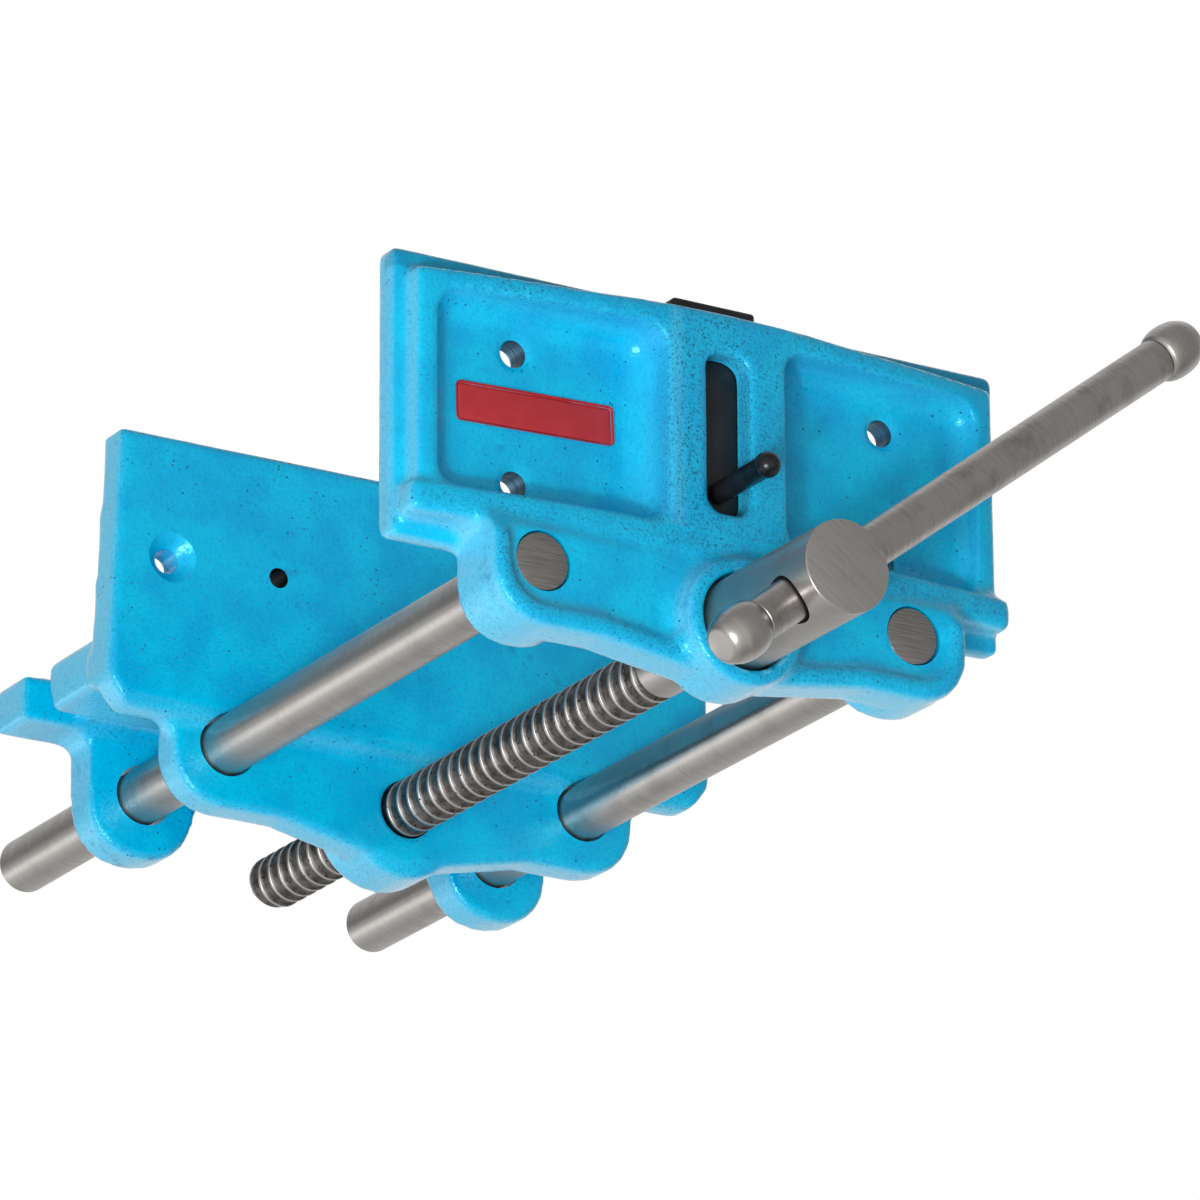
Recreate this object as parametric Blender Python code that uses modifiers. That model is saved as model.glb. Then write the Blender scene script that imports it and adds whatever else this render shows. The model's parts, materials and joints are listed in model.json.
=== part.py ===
"""Woodworking vise for the front of a bench.

The rear jaw hangs under the bench top by its notched flange.  The front jaw rides on two guide
rods, and a lead screw with a sliding tommy bar draws it in.  A dog slides in the front jaw's rib.

Axes: +X to the right, +Y to the rear, +Z up.  The sub-parts are laid out from the middle of the
jaw tops at the rear jaw's clamp face, and one empty carries them to the frame of the whole part,
whose origin is the middle of the flange's upper face.
"""

import math

import bmesh
import bpy

# Driving dimensions, in metres.
JAW_WIDTH = 0.165
JAW_OPENING = 0.126
CLAMP_HEIGHT = 0.0665
FRONT_PLATE = 0.0072
REAR_PLATE = 0.0089
ROD_SPACING = 0.1006
ROD_DROP = 0.0753
ROD_DIAMETER = 0.014
ROD_LENGTH = 0.2587
SCREW_DROP = 0.083
SCREW_DIAMETER = 0.014
SCREW_LENGTH = 0.2685
HEAD_DIAMETER = 0.0223
HEAD_REACH = 0.0695
HANDLE_DIAMETER = 0.0105
HANDLE_SLOPE = math.radians(37.4)
FLANGE_DROP = 0.0501
FLANGE_REACH = 0.0612

# Fits.
FIT_GAP = 0.0003
RUNNING_GAP = 0.0006
CAST_ROUND = 0.0012
EDGE_BREAK = 0.0005
MERGE = 0.00001
ARC_STEPS = 5
ROUND_STEPS = 2
FLATNESS = 0.999
FILLET_SHARE = 0.44
ROUND_SIDES = 32
PIN_SIDES = 16
SHARP_ANGLE = math.radians(35)

ROD_RADIUS = ROD_DIAMETER / 2
SCREW_RADIUS = SCREW_DIAMETER / 2
HEAD_RADIUS = HEAD_DIAMETER / 2
HALF_JAW = JAW_WIDTH / 2
ROD_X = ROD_SPACING / 2


def collection(name, hidden):
    """Return a new collection, hidden from renders for cutters."""
    group = bpy.data.collections.new(name)
    bpy.context.scene.collection.children.link(group)
    group.hide_render = hidden
    return group


def clear_scene():
    """Take every object, mesh and curve of the start-up scene away."""
    for item in list(bpy.data.objects):
        bpy.data.objects.remove(item, do_unlink=True)
    for group in list(bpy.data.collections):
        bpy.data.collections.remove(group)


clear_scene()
PARTS = collection("woodworking_vise", False)
CUTTERS = collection("cutters", True)
FRAME = bpy.data.objects.new("vise_frame", None)
PARTS.objects.link(FRAME)
FRAME.location = (0, -FLANGE_REACH / 2 - REAR_PLATE / 2, FLANGE_DROP)


def material(name, colour, roughness, metallic):
    """Return a Principled material."""
    finish = bpy.data.materials.new(name)
    finish.use_nodes = True
    shader = finish.node_tree.nodes["Principled BSDF"]
    shader.inputs["Base Color"].default_value = (*colour, 1)
    shader.inputs["Roughness"].default_value = roughness
    shader.inputs["Metallic"].default_value = metallic
    finish.diffuse_color = (*colour, 1)
    return finish


def blue_enamel(name):
    """Return glossy blue paint for one casting."""
    return material(name, (0.0, 0.42, 0.86), 0.25, 0.0)


def steel(name, shade, roughness):
    """Return bare steel of one shade."""
    return material(name, (shade, shade, shade * 0.97), roughness, 1.0)


def add_mesh(name, mesh, place, turn, group):
    """Put a mesh into the scene under the frame."""
    item = bpy.data.objects.new(name, mesh)
    group.objects.link(item)
    item.parent = FRAME
    item.location = place
    item.rotation_euler = turn
    if group is CUTTERS:
        item.hide_render = True
        item.display_type = "WIRE"
    return item


FACING_FRONT = (math.pi / 2, 0, 0)
FACING_SIDE = (math.pi / 2, 0, math.pi / 2)
FACING_UP = (0, 0, 0)


def fillet(corner, before, after, radius):
    """Return the points of an arc that rounds one corner of an outline."""
    lengths = [math.dist(corner, other) for other in (before, after)]
    rays = [
        ((other[0] - corner[0]) / length, (other[1] - corner[1]) / length)
        for other, length in zip((before, after), lengths)
    ]
    cosine = max(-1, min(1, rays[0][0] * rays[1][0] + rays[0][1] * rays[1][1]))
    half = math.acos(cosine) / 2
    setback = min(radius / math.tan(half), min(lengths) * FILLET_SHARE)
    radius = setback * math.tan(half)
    middle = ((rays[0][0] + rays[1][0]) / 2, (rays[0][1] + rays[1][1]) / 2)
    reach = radius / math.sin(half) / math.hypot(*middle)
    centre = (corner[0] + middle[0] * reach, corner[1] + middle[1] * reach)
    start, end = [
        math.atan2(corner[1] + ray[1] * setback - centre[1], corner[0] + ray[0] * setback - centre[0])
        for ray in rays
    ]
    sweep = (end - start + math.pi) % (2 * math.pi) - math.pi
    steps = max(2, round(ARC_STEPS * abs(sweep) / (math.pi / 2)))
    return [
        (
            centre[0] + radius * math.cos(start + sweep * step / steps),
            centre[1] + radius * math.sin(start + sweep * step / steps),
        )
        for step in range(steps + 1)
    ]


def rounded(corners):
    """Return an outline whose corners (x, y, radius) are rounded."""
    points = []
    for index, (x, y, radius) in enumerate(corners):
        before = corners[index - 1][:2]
        after = corners[(index + 1) % len(corners)][:2]
        points += fillet((x, y), before, after, radius) if radius else [(x, y)]
    return points


def mirrored(corners):
    """Return a full outline from the corners of its right half, top to bottom."""
    left = [(-x, y, radius) for x, y, radius in reversed(corners) if x > MERGE]
    return list(corners) + left


def round_caps(shape, width):
    """Round the rims of a prism's two caps by insetting each cap in small steps."""
    for direction in (-1, 1):
        for step in range(ROUND_STEPS):
            start = math.pi / 2 * step / ROUND_STEPS
            end = math.pi / 2 * (step + 1) / ROUND_STEPS
            cap = [face for face in shape.faces if face.normal.z * direction > FLATNESS]
            bmesh.ops.inset_region(
                shape,
                faces=cap,
                thickness=width * (math.cos(start) - math.cos(end)),
                depth=width * (math.sin(end) - math.sin(start)),
                use_even_offset=True,
            )


def prism(name, outline, depth, place, turn=FACING_UP, group=CUTTERS, edge=0):
    """Return a flat outline given a thickness, centred on its place, with its rims rounded."""
    curve = bpy.data.curves.new(name, "CURVE")
    curve.dimensions = "2D"
    curve.fill_mode = "BOTH"
    curve.extrude = depth / 2 - edge
    line = curve.splines.new("POLY")
    line.points.add(len(outline) - 1)
    for point, (x, y) in zip(line.points, outline):
        point.co = (x, y, 0, 1)
    line.use_cyclic_u = True
    guide = bpy.data.objects.new(name, curve)
    bpy.context.scene.collection.objects.link(guide)
    mesh = bpy.data.meshes.new_from_object(guide.evaluated_get(bpy.context.evaluated_depsgraph_get()))
    bpy.data.objects.remove(guide, do_unlink=True)
    shape = bmesh.new()
    shape.from_mesh(mesh)
    bmesh.ops.remove_doubles(shape, verts=shape.verts, dist=MERGE)
    for level in (-curve.extrude, curve.extrude):
        cap = [face for face in shape.faces if all(abs(vert.co.z - level) < MERGE for vert in face.verts)]
        bmesh.ops.dissolve_faces(shape, faces=cap)
    bmesh.ops.recalc_face_normals(shape, faces=shape.faces)
    if edge:
        round_caps(shape, edge)
    shape.to_mesh(mesh)
    shape.free()
    return add_mesh(name, mesh, place, turn, group)


def rod(name, radius, length, place, turn=FACING_FRONT, group=CUTTERS, sides=ROUND_SIDES, end_radius=None):
    """Return a cylinder, or a cone, whose middle is at its place and whose axis turns from +Z."""
    mesh = bpy.data.meshes.new(name)
    shape = bmesh.new()
    bmesh.ops.create_cone(
        shape,
        cap_ends=True,
        segments=sides,
        radius1=radius,
        radius2=radius if end_radius is None else end_radius,
        depth=length,
    )
    shape.to_mesh(mesh)
    shape.free()
    return add_mesh(name, mesh, place, turn, group)


def turned(name, profile, place, turn, group=PARTS, sides=ROUND_SIDES):
    """Return a piece turned about its local Z from (radius, height) pairs, top to bottom."""
    mesh = bpy.data.meshes.new(name)
    shape = bmesh.new()
    points = [shape.verts.new((radius, 0, height)) for radius, height in profile]
    for first, second in zip(points, points[1:]):
        shape.edges.new((first, second))
    shape.to_mesh(mesh)
    shape.free()
    item = add_mesh(name, mesh, place, turn, group)
    spin = item.modifiers.new("turned", "SCREW")
    spin.steps = sides
    spin.render_steps = sides
    spin.use_merge_vertices = True
    spin.merge_threshold = MERGE
    return item


def bevel(item, width, segments=2, angle=math.radians(50)):
    """Round the edges of a piece that are sharper than an angle."""
    edge = item.modifiers.new("rounds", "BEVEL")
    edge.width = width
    edge.segments = segments
    edge.limit_method = "ANGLE"
    edge.angle_limit = angle
    edge.use_clamp_overlap = False
    return item


def boolean(item, tool, operation):
    """Join another shape to a piece, or cut it away."""
    step = item.modifiers.new(tool.name, "BOOLEAN")
    step.operation = operation
    step.solver = "EXACT"
    step.object = tool
    return item


def join(item, *tools):
    """Fuse shapes into a piece."""
    for tool in tools:
        boolean(item, tool, "UNION")


def cut(item, *tools):
    """Cut shapes out of a piece."""
    for tool in tools:
        boolean(item, tool, "DIFFERENCE")


def fuse_meshes(name, items):
    """Make one cutter of several that don't touch, and return it."""
    mesh = bpy.data.meshes.new(name)
    shape = bmesh.new()
    for item in items:
        bpy.context.view_layer.update()
        solid = bpy.data.meshes.new_from_object(item.evaluated_get(bpy.context.evaluated_depsgraph_get()))
        solid.transform(item.matrix_local)
        shape.from_mesh(solid)
        bpy.data.meshes.remove(solid)
        bpy.data.objects.remove(item, do_unlink=True)
    shape.to_mesh(mesh)
    shape.free()
    return add_mesh(name, mesh, (0, 0, 0), FACING_UP, CUTTERS)


def finish(item, look):
    """Give a piece its material and smooth round faces."""
    item.data.materials.clear()
    item.data.materials.append(look)
    item.data.shade_smooth()
    item.data.set_sharp_from_angle(angle=SHARP_ANGLE)
    return item


def root_fillets(name, half, drop, radius, near, far):
    """Return the cast fillets between an overhang's underside and an apron's two sides."""
    sides = []
    for label, side in (("left", -1), ("right", 1)):
        outline = []
        for step in range(ARC_STEPS + 1):
            angle = math.pi / 2 * step / ARC_STEPS
            x = half + radius * (1 - math.sin(angle))
            outline.append((side * x, -drop - radius * (1 - math.cos(angle))))
        outline += [
            (side * (half - radius / 2), -drop - radius),
            (side * (half - radius / 2), -drop + radius / 2),
            (side * (half + radius), -drop + radius / 2),
        ]
        place = (0, (near + far) / 2, 0)
        sides.append(prism(f"{name}_{label}", outline, abs(far - near), place, FACING_FRONT))
    return fuse_meshes(name, sides)


def bow(half_width, end_depth, middle_depth, steps=14):
    """Return the points of a shallow arc, left to right, in plan."""
    rise = middle_depth - end_depth
    radius = (half_width**2 + rise**2) / (2 * rise)
    points = []
    for step in range(steps + 1):
        x = half_width * (2 * step / steps - 1)
        points.append((x, -(middle_depth - radius + math.sqrt(radius**2 - x**2))))
    return points


def rod_bores(name, radius, length, middle):
    """Return a cutter for the two guide rods' bores."""
    return fuse_meshes(
        name,
        [
            rod(name + "_" + side, radius, length, (x, middle, -ROD_DROP))
            for side, x in (("left", -ROD_X), ("right", ROD_X))
        ],
    )


# Front jaw.  Its places are measured from its own clamp face, so the front is at -Y.
FRONT_FACE_Y = -JAW_OPENING
FRONT_HEIGHT = 0.0703
RIM_HALF = 0.079
RIM_END_DEPTH = 0.0123
RIB_DEPTH = 0.0202
RIM_TOP = 0.0056
SHELF_HALF = 0.0816
SHELF_END_DEPTH = 0.0146
SHELF_TOP = 0.059
SHELF_BOTTOM = 0.0664
SHELF_ROUND = 0.002
POCKET_INNER = 0.0158
POCKET_OUTER = 0.0742
POCKET_TOP = 0.0099
POCKET_BOTTOM = 0.0605
POCKET_CORNER = 0.0052
POCKET_FILLET = 0.004
TOOL_REACH = 0.04
APRON_TOP = 0.0625
APRON_HALF = 0.0639
APRON_FILLET = 0.0055
APRON_FRONT = 0.0223
APRON_BOTTOM = 0.0911
APRON_LOBE = 0.0137
WEB_INNER = 0.035
WEB_MIDDLE = 0.0962
WEB_BACK = 0.0103
LOBE_BACK = 0.0038
LOBE_DROP = 0.0774
APRON_ROUND = 0.0018
RECESS_FLOOR = 0.0196
RECESS_SIDE = 0.0603
RECESS_CORNER = 0.0102
RECESS_BOTTOM = 0.087
RECESS_MIDDLE = 0.0922
RECESS_FILLET = 0.0016
SLOPE_TOP = 0.0595
SLOPE_TOP_DEPTH = 0.0136
SLOPE_FOOT = 0.0715
SLOPE_FOOT_DEPTH = 0.0223
BOSS_RADIUS = 0.0152
BOSS_FRONT = 0.0273
BOSS_ROUND = 0.0013
COUNTERBORE_RADIUS = 0.0118
COUNTERBORE_FLOOR = 0.0173
CHEEK_HOLE_X = 0.0505
CHEEK_HOLE_TOP = 0.0202
CHEEK_HOLE_BOTTOM = 0.0527
CHEEK_HOLE_RADIUS = 0.0034
DIMPLE_RADIUS = 0.0062
DIMPLE_DEPTH = 0.0018
DIMPLE_FLOOR_SHARE = 0.6
DOG_HALF = 0.0113
DOG_TOP = 0.0004
DOG_BOTTOM = 0.056
DOG_FRONT = 0.0143
DOG_BACK = 0.0056
CHANNEL_BACK = 0.0032
CHANNEL_BOTTOM = 0.060
SLOT_HALF = 0.00625
SLOT_TOP = 0.0143
SLOT_BOTTOM = 0.0548
SLOT_CORNER = 0.0045

CHANNEL_HALF = DOG_HALF + FIT_GAP
CHANNEL_FRONT = DOG_FRONT + FIT_GAP


def front(depth, x=0, z=0):
    """Return the place of a point so far in front of the front jaw's clamp face."""
    return (x, FRONT_FACE_Y - depth, z)


def clamp_profile(thickness, height, step):
    """Return a jaw plate's section (y, z): a flat face that rounds back at its foot."""
    points = [(0, 0)]
    for part in range(ARC_STEPS + 1):
        angle = math.pi / 2 * part / ARC_STEPS
        points.append((step - step * math.cos(angle), -(height - step) - step * math.sin(angle)))
    points += [(thickness, -height), (thickness, 0)]
    return points


def front_plate():
    """Return the front jaw's flat plate."""
    foot = FRONT_HEIGHT - CLAMP_HEIGHT
    section = [(-y, z) for y, z in clamp_profile(FRONT_PLATE, FRONT_HEIGHT, foot)]
    plate = prism("front_jaw", section, JAW_WIDTH, front(0), FACING_SIDE, PARTS)
    return bevel(plate, CAST_ROUND)


def bowed_block(name, half, end_depth, middle_depth, top, bottom):
    """Return a block in front of the plate whose front is bowed in plan."""
    back = FRONT_PLATE / 2
    outline = [(half, -back), (-half, -back)] + bow(half, end_depth, middle_depth)
    return prism(name, outline, bottom - top, front(0, 0, -(top + bottom) / 2), FACING_UP)


def pocket(name, side):
    """Return the cutter of one pocket between the rim and the centre rib."""
    inner, outer = side * POCKET_INNER, side * POCKET_OUTER
    outline = rounded(
        [
            (inner, -POCKET_TOP, POCKET_CORNER),
            (outer, -POCKET_TOP, POCKET_CORNER),
            (outer, -POCKET_BOTTOM, POCKET_CORNER),
            (inner, -POCKET_BOTTOM, POCKET_CORNER),
        ]
    )
    place = front(FRONT_PLATE + TOOL_REACH / 2)
    return prism(name, outline, TOOL_REACH, place, FACING_FRONT, edge=POCKET_FILLET)


def apron_web():
    """Return the apron that hangs under the shelf, without its lobes' rear collars."""
    outline = rounded(
        mirrored(
            [
                (APRON_HALF, -APRON_TOP, 0),
                (APRON_HALF, -APRON_BOTTOM, APRON_LOBE),
                (WEB_INNER, -APRON_BOTTOM, 0),
                (0, -WEB_MIDDLE, 0),
            ]
        )
    )
    depth = APRON_FRONT - WEB_BACK
    place = front((APRON_FRONT + WEB_BACK) / 2)
    return prism("apron_web", outline, depth, place, FACING_FRONT, edge=APRON_ROUND)


def lobe(name, side):
    """Return the collar behind the apron around one guide rod."""
    x = side * ROD_X
    outline = rounded(
        [
            (x - APRON_LOBE, -APRON_TOP, 0),
            (x + APRON_LOBE, -APRON_TOP, 0),
            (x + APRON_LOBE, -LOBE_DROP - APRON_LOBE, APRON_LOBE),
            (x - APRON_LOBE, -LOBE_DROP - APRON_LOBE, APRON_LOBE),
        ]
    )
    front_depth = (WEB_BACK + APRON_FRONT) / 2
    place = front((front_depth + LOBE_BACK) / 2)
    return prism(name, outline, front_depth - LOBE_BACK, place, FACING_FRONT, edge=CAST_ROUND)


def apron_recess():
    """Return the cutter of the broad recess in the apron's front."""
    outline = rounded(
        mirrored(
            [
                (RECESS_SIDE, -SHELF_TOP + TOOL_REACH, 0),
                (RECESS_SIDE, -RECESS_BOTTOM, RECESS_CORNER),
                (WEB_INNER, -RECESS_BOTTOM, 0),
                (0, -RECESS_MIDDLE, 0),
            ]
        )
    )
    place = front(RECESS_FLOOR + TOOL_REACH / 2)
    return prism("apron_recess", outline, TOOL_REACH, place, FACING_FRONT, edge=RECESS_FILLET)


def apron_slope():
    """Return the cutter that leans the apron's top back into the shelf."""
    run = SLOPE_FOOT_DEPTH - SLOPE_TOP_DEPTH
    rise = SLOPE_FOOT - SLOPE_TOP
    section = [
        (-SLOPE_TOP_DEPTH + run, -SLOPE_TOP + rise),
        (-SLOPE_FOOT_DEPTH - run, -SLOPE_FOOT - rise),
        (-SLOPE_FOOT_DEPTH - TOOL_REACH, -SLOPE_TOP + rise),
    ]
    return prism("apron_slope", section, JAW_WIDTH, front(0), FACING_SIDE)


def slot_cutters():
    """Return the cutters of the dog's channel and of the slot in front of it."""
    above = DOG_TOP + TOOL_REACH
    channel = prism(
        "dog_channel",
        rounded(
            [
                (-CHANNEL_HALF, -CHANNEL_FRONT, EDGE_BREAK),
                (CHANNEL_HALF, -CHANNEL_FRONT, EDGE_BREAK),
                (CHANNEL_HALF, -CHANNEL_BACK, EDGE_BREAK),
                (-CHANNEL_HALF, -CHANNEL_BACK, EDGE_BREAK),
            ]
        ),
        CHANNEL_BOTTOM + above,
        front(0, 0, (above - CHANNEL_BOTTOM) / 2),
    )
    slot = prism(
        "dog_slot",
        rounded(
            [
                (-SLOT_HALF, -SLOT_TOP, SLOT_CORNER),
                (SLOT_HALF, -SLOT_TOP, SLOT_CORNER),
                (SLOT_HALF, -SLOT_BOTTOM, SLOT_CORNER),
                (-SLOT_HALF, -SLOT_BOTTOM, SLOT_CORNER),
            ]
        ),
        TOOL_REACH,
        front((CHANNEL_FRONT + CHANNEL_BACK) / 2 + TOOL_REACH / 2),
        FACING_FRONT,
    )
    return channel, slot


def cheek_holes():
    """Return the cutters of the four screw holes for wooden cheeks, each with a shallow dimple."""
    places = [
        (x, z)
        for x in (-CHEEK_HOLE_X, CHEEK_HOLE_X)
        for z in (-CHEEK_HOLE_TOP, -CHEEK_HOLE_BOTTOM)
    ]
    dimples = []
    drills = []
    for index, (x, z) in enumerate(places):
        drill_place = front(FRONT_PLATE, x, z)
        drills.append(rod(f"drill_{index}", CHEEK_HOLE_RADIUS, TOOL_REACH, drill_place, sides=PIN_SIDES))
        dimple = rod(
            f"dimple_{index}",
            DIMPLE_RADIUS,
            DIMPLE_DEPTH * 2,
            front(FRONT_PLATE, x, z),
            end_radius=DIMPLE_RADIUS * DIMPLE_FLOOR_SHARE,
            sides=PIN_SIDES,
        )
        dimple.rotation_euler = (-math.pi / 2, 0, 0)
        dimples.append(dimple)
    return fuse_meshes("cheek_dimples", dimples), fuse_meshes("cheek_drills", drills)


def build_front_jaw():
    """Build the front jaw casting."""
    jaw = front_plate()
    rim = bowed_block("bowed_rim", RIM_HALF, RIM_END_DEPTH, RIB_DEPTH, RIM_TOP, SHELF_BOTTOM - MERGE)
    bevel(rim, CAST_ROUND)
    pockets = fuse_meshes("pockets", [pocket("pocket_left", -1), pocket("pocket_right", 1)])
    shelf = bowed_block("shelf", SHELF_HALF, SHELF_END_DEPTH, RIB_DEPTH, SHELF_TOP, SHELF_BOTTOM)
    bevel(shelf, SHELF_ROUND, 3)
    web = apron_web()
    cut(web, apron_slope(), apron_recess())
    lobes = fuse_meshes("lobes", [lobe("lobe_left", -1), lobe("lobe_right", 1)])
    boss_place = front((BOSS_FRONT + WEB_BACK) / 2, 0, -SCREW_DROP)
    boss = rod("screw_boss", BOSS_RADIUS, BOSS_FRONT - WEB_BACK, boss_place)
    bevel(boss, BOSS_ROUND, 3)
    join(jaw, rim)
    cut(jaw, pockets)
    near = FRONT_FACE_Y - SHELF_END_DEPTH + SHELF_ROUND
    far = FRONT_FACE_Y - LOBE_BACK
    fillets = root_fillets("apron_fillets", APRON_HALF, SHELF_BOTTOM, APRON_FILLET, near, far)
    join(jaw, shelf, web, lobes, fillets, boss)
    counterbore = rod(
        "head_counterbore",
        COUNTERBORE_RADIUS,
        TOOL_REACH,
        front(COUNTERBORE_FLOOR + TOOL_REACH / 2, 0, -SCREW_DROP),
    )
    shank_bore = rod("shank_bore", SCREW_RADIUS + RUNNING_GAP, TOOL_REACH, front(WEB_BACK, 0, -SCREW_DROP))
    bores = rod_bores("front_rod_bores", ROD_RADIUS + FIT_GAP, TOOL_REACH * 2, FRONT_FACE_Y)
    cut(jaw, counterbore, shank_bore, bores, *slot_cutters(), *cheek_holes(), rod_pin_bores())
    return finish(jaw, blue_enamel("front_jaw_enamel"))


# Guide rods and their pins.
PIN_RADIUS = 0.0015
PIN_DEPTH = 0.007
PIN_SIDE = 0.0128


def rod_pin(name, side, radius, length, group):
    """Return a cross pin, or its bore, through one lobe's collar and the rod in it."""
    x = side * (ROD_X - PIN_SIDE + length / 2)
    across = (0, math.pi / 2, 0)
    return rod(name, radius, length, front(PIN_DEPTH, x, -ROD_DROP), across, group, PIN_SIDES)


def rod_pin_bores():
    """Return the cutter of both cross pins' bores, blind in the lobe's outer wall."""
    bores = []
    length = PIN_SIDE * 2 + FIT_GAP - PIN_RADIUS
    for side, x_side in (("left", -1), ("right", 1)):
        bore = rod_pin("pin_bore_" + side, x_side, PIN_RADIUS + FIT_GAP, length, CUTTERS)
        bore.location.x -= x_side * PIN_RADIUS
        bores.append(bore)
    return fuse_meshes("rod_pin_bores", bores)


def build_guide_rods():
    """Build the two guide rods, flush with the floor of the apron's recess."""
    for side, x_side in (("left", -1), ("right", 1)):
        place = front(RECESS_FLOOR - ROD_LENGTH / 2, x_side * ROD_X, -ROD_DROP)
        bar = rod("guide_rod_" + side, ROD_RADIUS, ROD_LENGTH, place, group=PARTS)
        bevel(bar, EDGE_BREAK, 1)
        cut(bar, rod_pin("rod_cross_bore_" + side, x_side, PIN_RADIUS + FIT_GAP, PIN_SIDE * 2, CUTTERS))
        finish(bar, steel("guide_rod_steel_" + side, 0.55, 0.3))
        pin = rod_pin("rod_pin_" + side, x_side, PIN_RADIUS, PIN_SIDE * 2 - PIN_RADIUS * 2, PARTS)
        bevel(pin, EDGE_BREAK / 2, 1)
        finish(pin, steel("rod_pin_steel_" + side, 0.45, 0.35))


# Lead screw, its washer, collar and nut.
WASHER_THICKNESS = 0.001
COLLAR_RADIUS = 0.010
COLLAR_BACK = 0.004
CROSS_BACK = 0.012
CROSS_GAP = 0.0005
NUT_RADIUS = 0.011
NUT_FRONT = 0.0068
REAR_BOSS_BACK = 0.0213
NUT_PIN_RADIUS = 0.002

HEAD_BACK = COUNTERBORE_FLOOR + WASHER_THICKNESS + 2 * FIT_GAP
CROSS_DEPTH = HEAD_REACH - CROSS_BACK
ALONG_HANDLE = (0, math.pi / 2 - HANDLE_SLOPE, 0)


def ring(name, outer, inner, length, place, group=PARTS):
    """Return a turned ring about the screw's direction, its edges broken."""
    half = length / 2
    item = rod(name, outer, length, place, group=group)
    bevel(item, EDGE_BREAK, 1)
    bore = rod(name + "_bore", inner, length + half, place)
    cut(item, bore)
    return item


def build_lead_screw():
    """Build the screw: thick head, plain neck and the long shank that carries the thread."""
    profile = [
        (0, HEAD_REACH),
        (HEAD_RADIUS - EDGE_BREAK, HEAD_REACH),
        (HEAD_RADIUS, HEAD_REACH - EDGE_BREAK),
        (HEAD_RADIUS, HEAD_BACK + EDGE_BREAK),
        (HEAD_RADIUS - EDGE_BREAK, HEAD_BACK),
        (SCREW_RADIUS, HEAD_BACK),
        (SCREW_RADIUS, HEAD_REACH - SCREW_LENGTH + 2 * EDGE_BREAK),
        (SCREW_RADIUS - 2 * EDGE_BREAK, HEAD_REACH - SCREW_LENGTH),
        (0, HEAD_REACH - SCREW_LENGTH),
    ]
    screw = turned("lead_screw", profile, front(0, 0, -SCREW_DROP), FACING_FRONT)
    cross_place = front(CROSS_DEPTH, 0, -SCREW_DROP)
    cross = rod("handle_bore", HANDLE_DIAMETER / 2 + CROSS_GAP, TOOL_REACH, cross_place, ALONG_HANDLE)
    cut(screw, cross, collar_pin("collar_pin_bore", PIN_RADIUS + FIT_GAP, TOOL_REACH / 2, CUTTERS))
    finish(screw, steel("lead_screw_steel", 0.5, 0.32))


def collar_pin(name, radius, length, group):
    """Return the upright pin, or its bore, through the collar and the screw."""
    depth = (WEB_BACK - FIT_GAP + COLLAR_BACK) / 2
    return rod(name, radius, length, front(depth, 0, -SCREW_DROP), FACING_UP, group, PIN_SIDES)


def build_screw_fittings():
    """Build the washer in front of the jaw's web and the pinned collar behind it."""
    washer_depth = COUNTERBORE_FLOOR + FIT_GAP + WASHER_THICKNESS / 2
    washer = ring(
        "thrust_washer",
        COUNTERBORE_RADIUS - RUNNING_GAP,
        SCREW_RADIUS + FIT_GAP,
        WASHER_THICKNESS,
        front(washer_depth, 0, -SCREW_DROP),
    )
    finish(washer, steel("thrust_washer_steel", 0.5, 0.35))
    front_depth = WEB_BACK - FIT_GAP
    collar = ring(
        "retaining_collar",
        COLLAR_RADIUS,
        SCREW_RADIUS + FIT_GAP,
        front_depth - COLLAR_BACK,
        front((front_depth + COLLAR_BACK) / 2, 0, -SCREW_DROP),
    )
    cut(collar, collar_pin("collar_cross_bore", PIN_RADIUS + FIT_GAP, COLLAR_RADIUS * 3, CUTTERS))
    finish(collar, steel("retaining_collar_steel", 0.4, 0.4))
    pin = collar_pin("collar_pin", PIN_RADIUS, COLLAR_RADIUS * 2 - 2 * EDGE_BREAK, PARTS)
    bevel(pin, EDGE_BREAK / 2, 1)
    finish(pin, steel("collar_pin_steel", 0.45, 0.35))


def nut_pin(name, radius, length, group):
    """Return the pin, or its bore, from the top of the rear boss into the nut."""
    middle = (NUT_FRONT + REAR_BOSS_BACK) / 2
    top = SCREW_DROP - REAR_BOSS_RADIUS + EDGE_BREAK
    return rod(name, radius, length, (0, middle, -(top + length / 2)), FACING_UP, group, PIN_SIDES)


def build_nut():
    """Build the nut seated in the rear jaw's boss, and its pin."""
    middle = (NUT_FRONT + REAR_BOSS_BACK) / 2
    nut = ring(
        "screw_nut",
        NUT_RADIUS,
        SCREW_RADIUS + FIT_GAP,
        REAR_BOSS_BACK - NUT_FRONT,
        (0, middle, -SCREW_DROP),
    )
    reach = REAR_BOSS_RADIUS - SCREW_RADIUS - 4 * EDGE_BREAK
    cut(nut, nut_pin("nut_pin_seat", NUT_PIN_RADIUS + FIT_GAP, reach + FIT_GAP, CUTTERS))
    finish(nut, steel("screw_nut_steel", 0.42, 0.4))
    pin = nut_pin("nut_pin", NUT_PIN_RADIUS, reach, PARTS)
    bevel(pin, EDGE_BREAK / 2, 1)
    finish(pin, steel("nut_pin_steel", 0.42, 0.4))


# Handle.  Its local Z runs along the bar towards the far knob, from the screw's axis.
NEAR_NECK = 0.0214
FAR_NECK = 0.1206
KNOB_LENGTH = 0.0119
KNOB_RADIUS = 0.00675
KNOB_BELLY = 0.0047
KNOB_FLAT = 0.0036
SPIGOT_RADIUS = 0.003
SPIGOT_LENGTH = 0.0075
DOME_STEPS = 6
NECK_STEPS = 3


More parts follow.
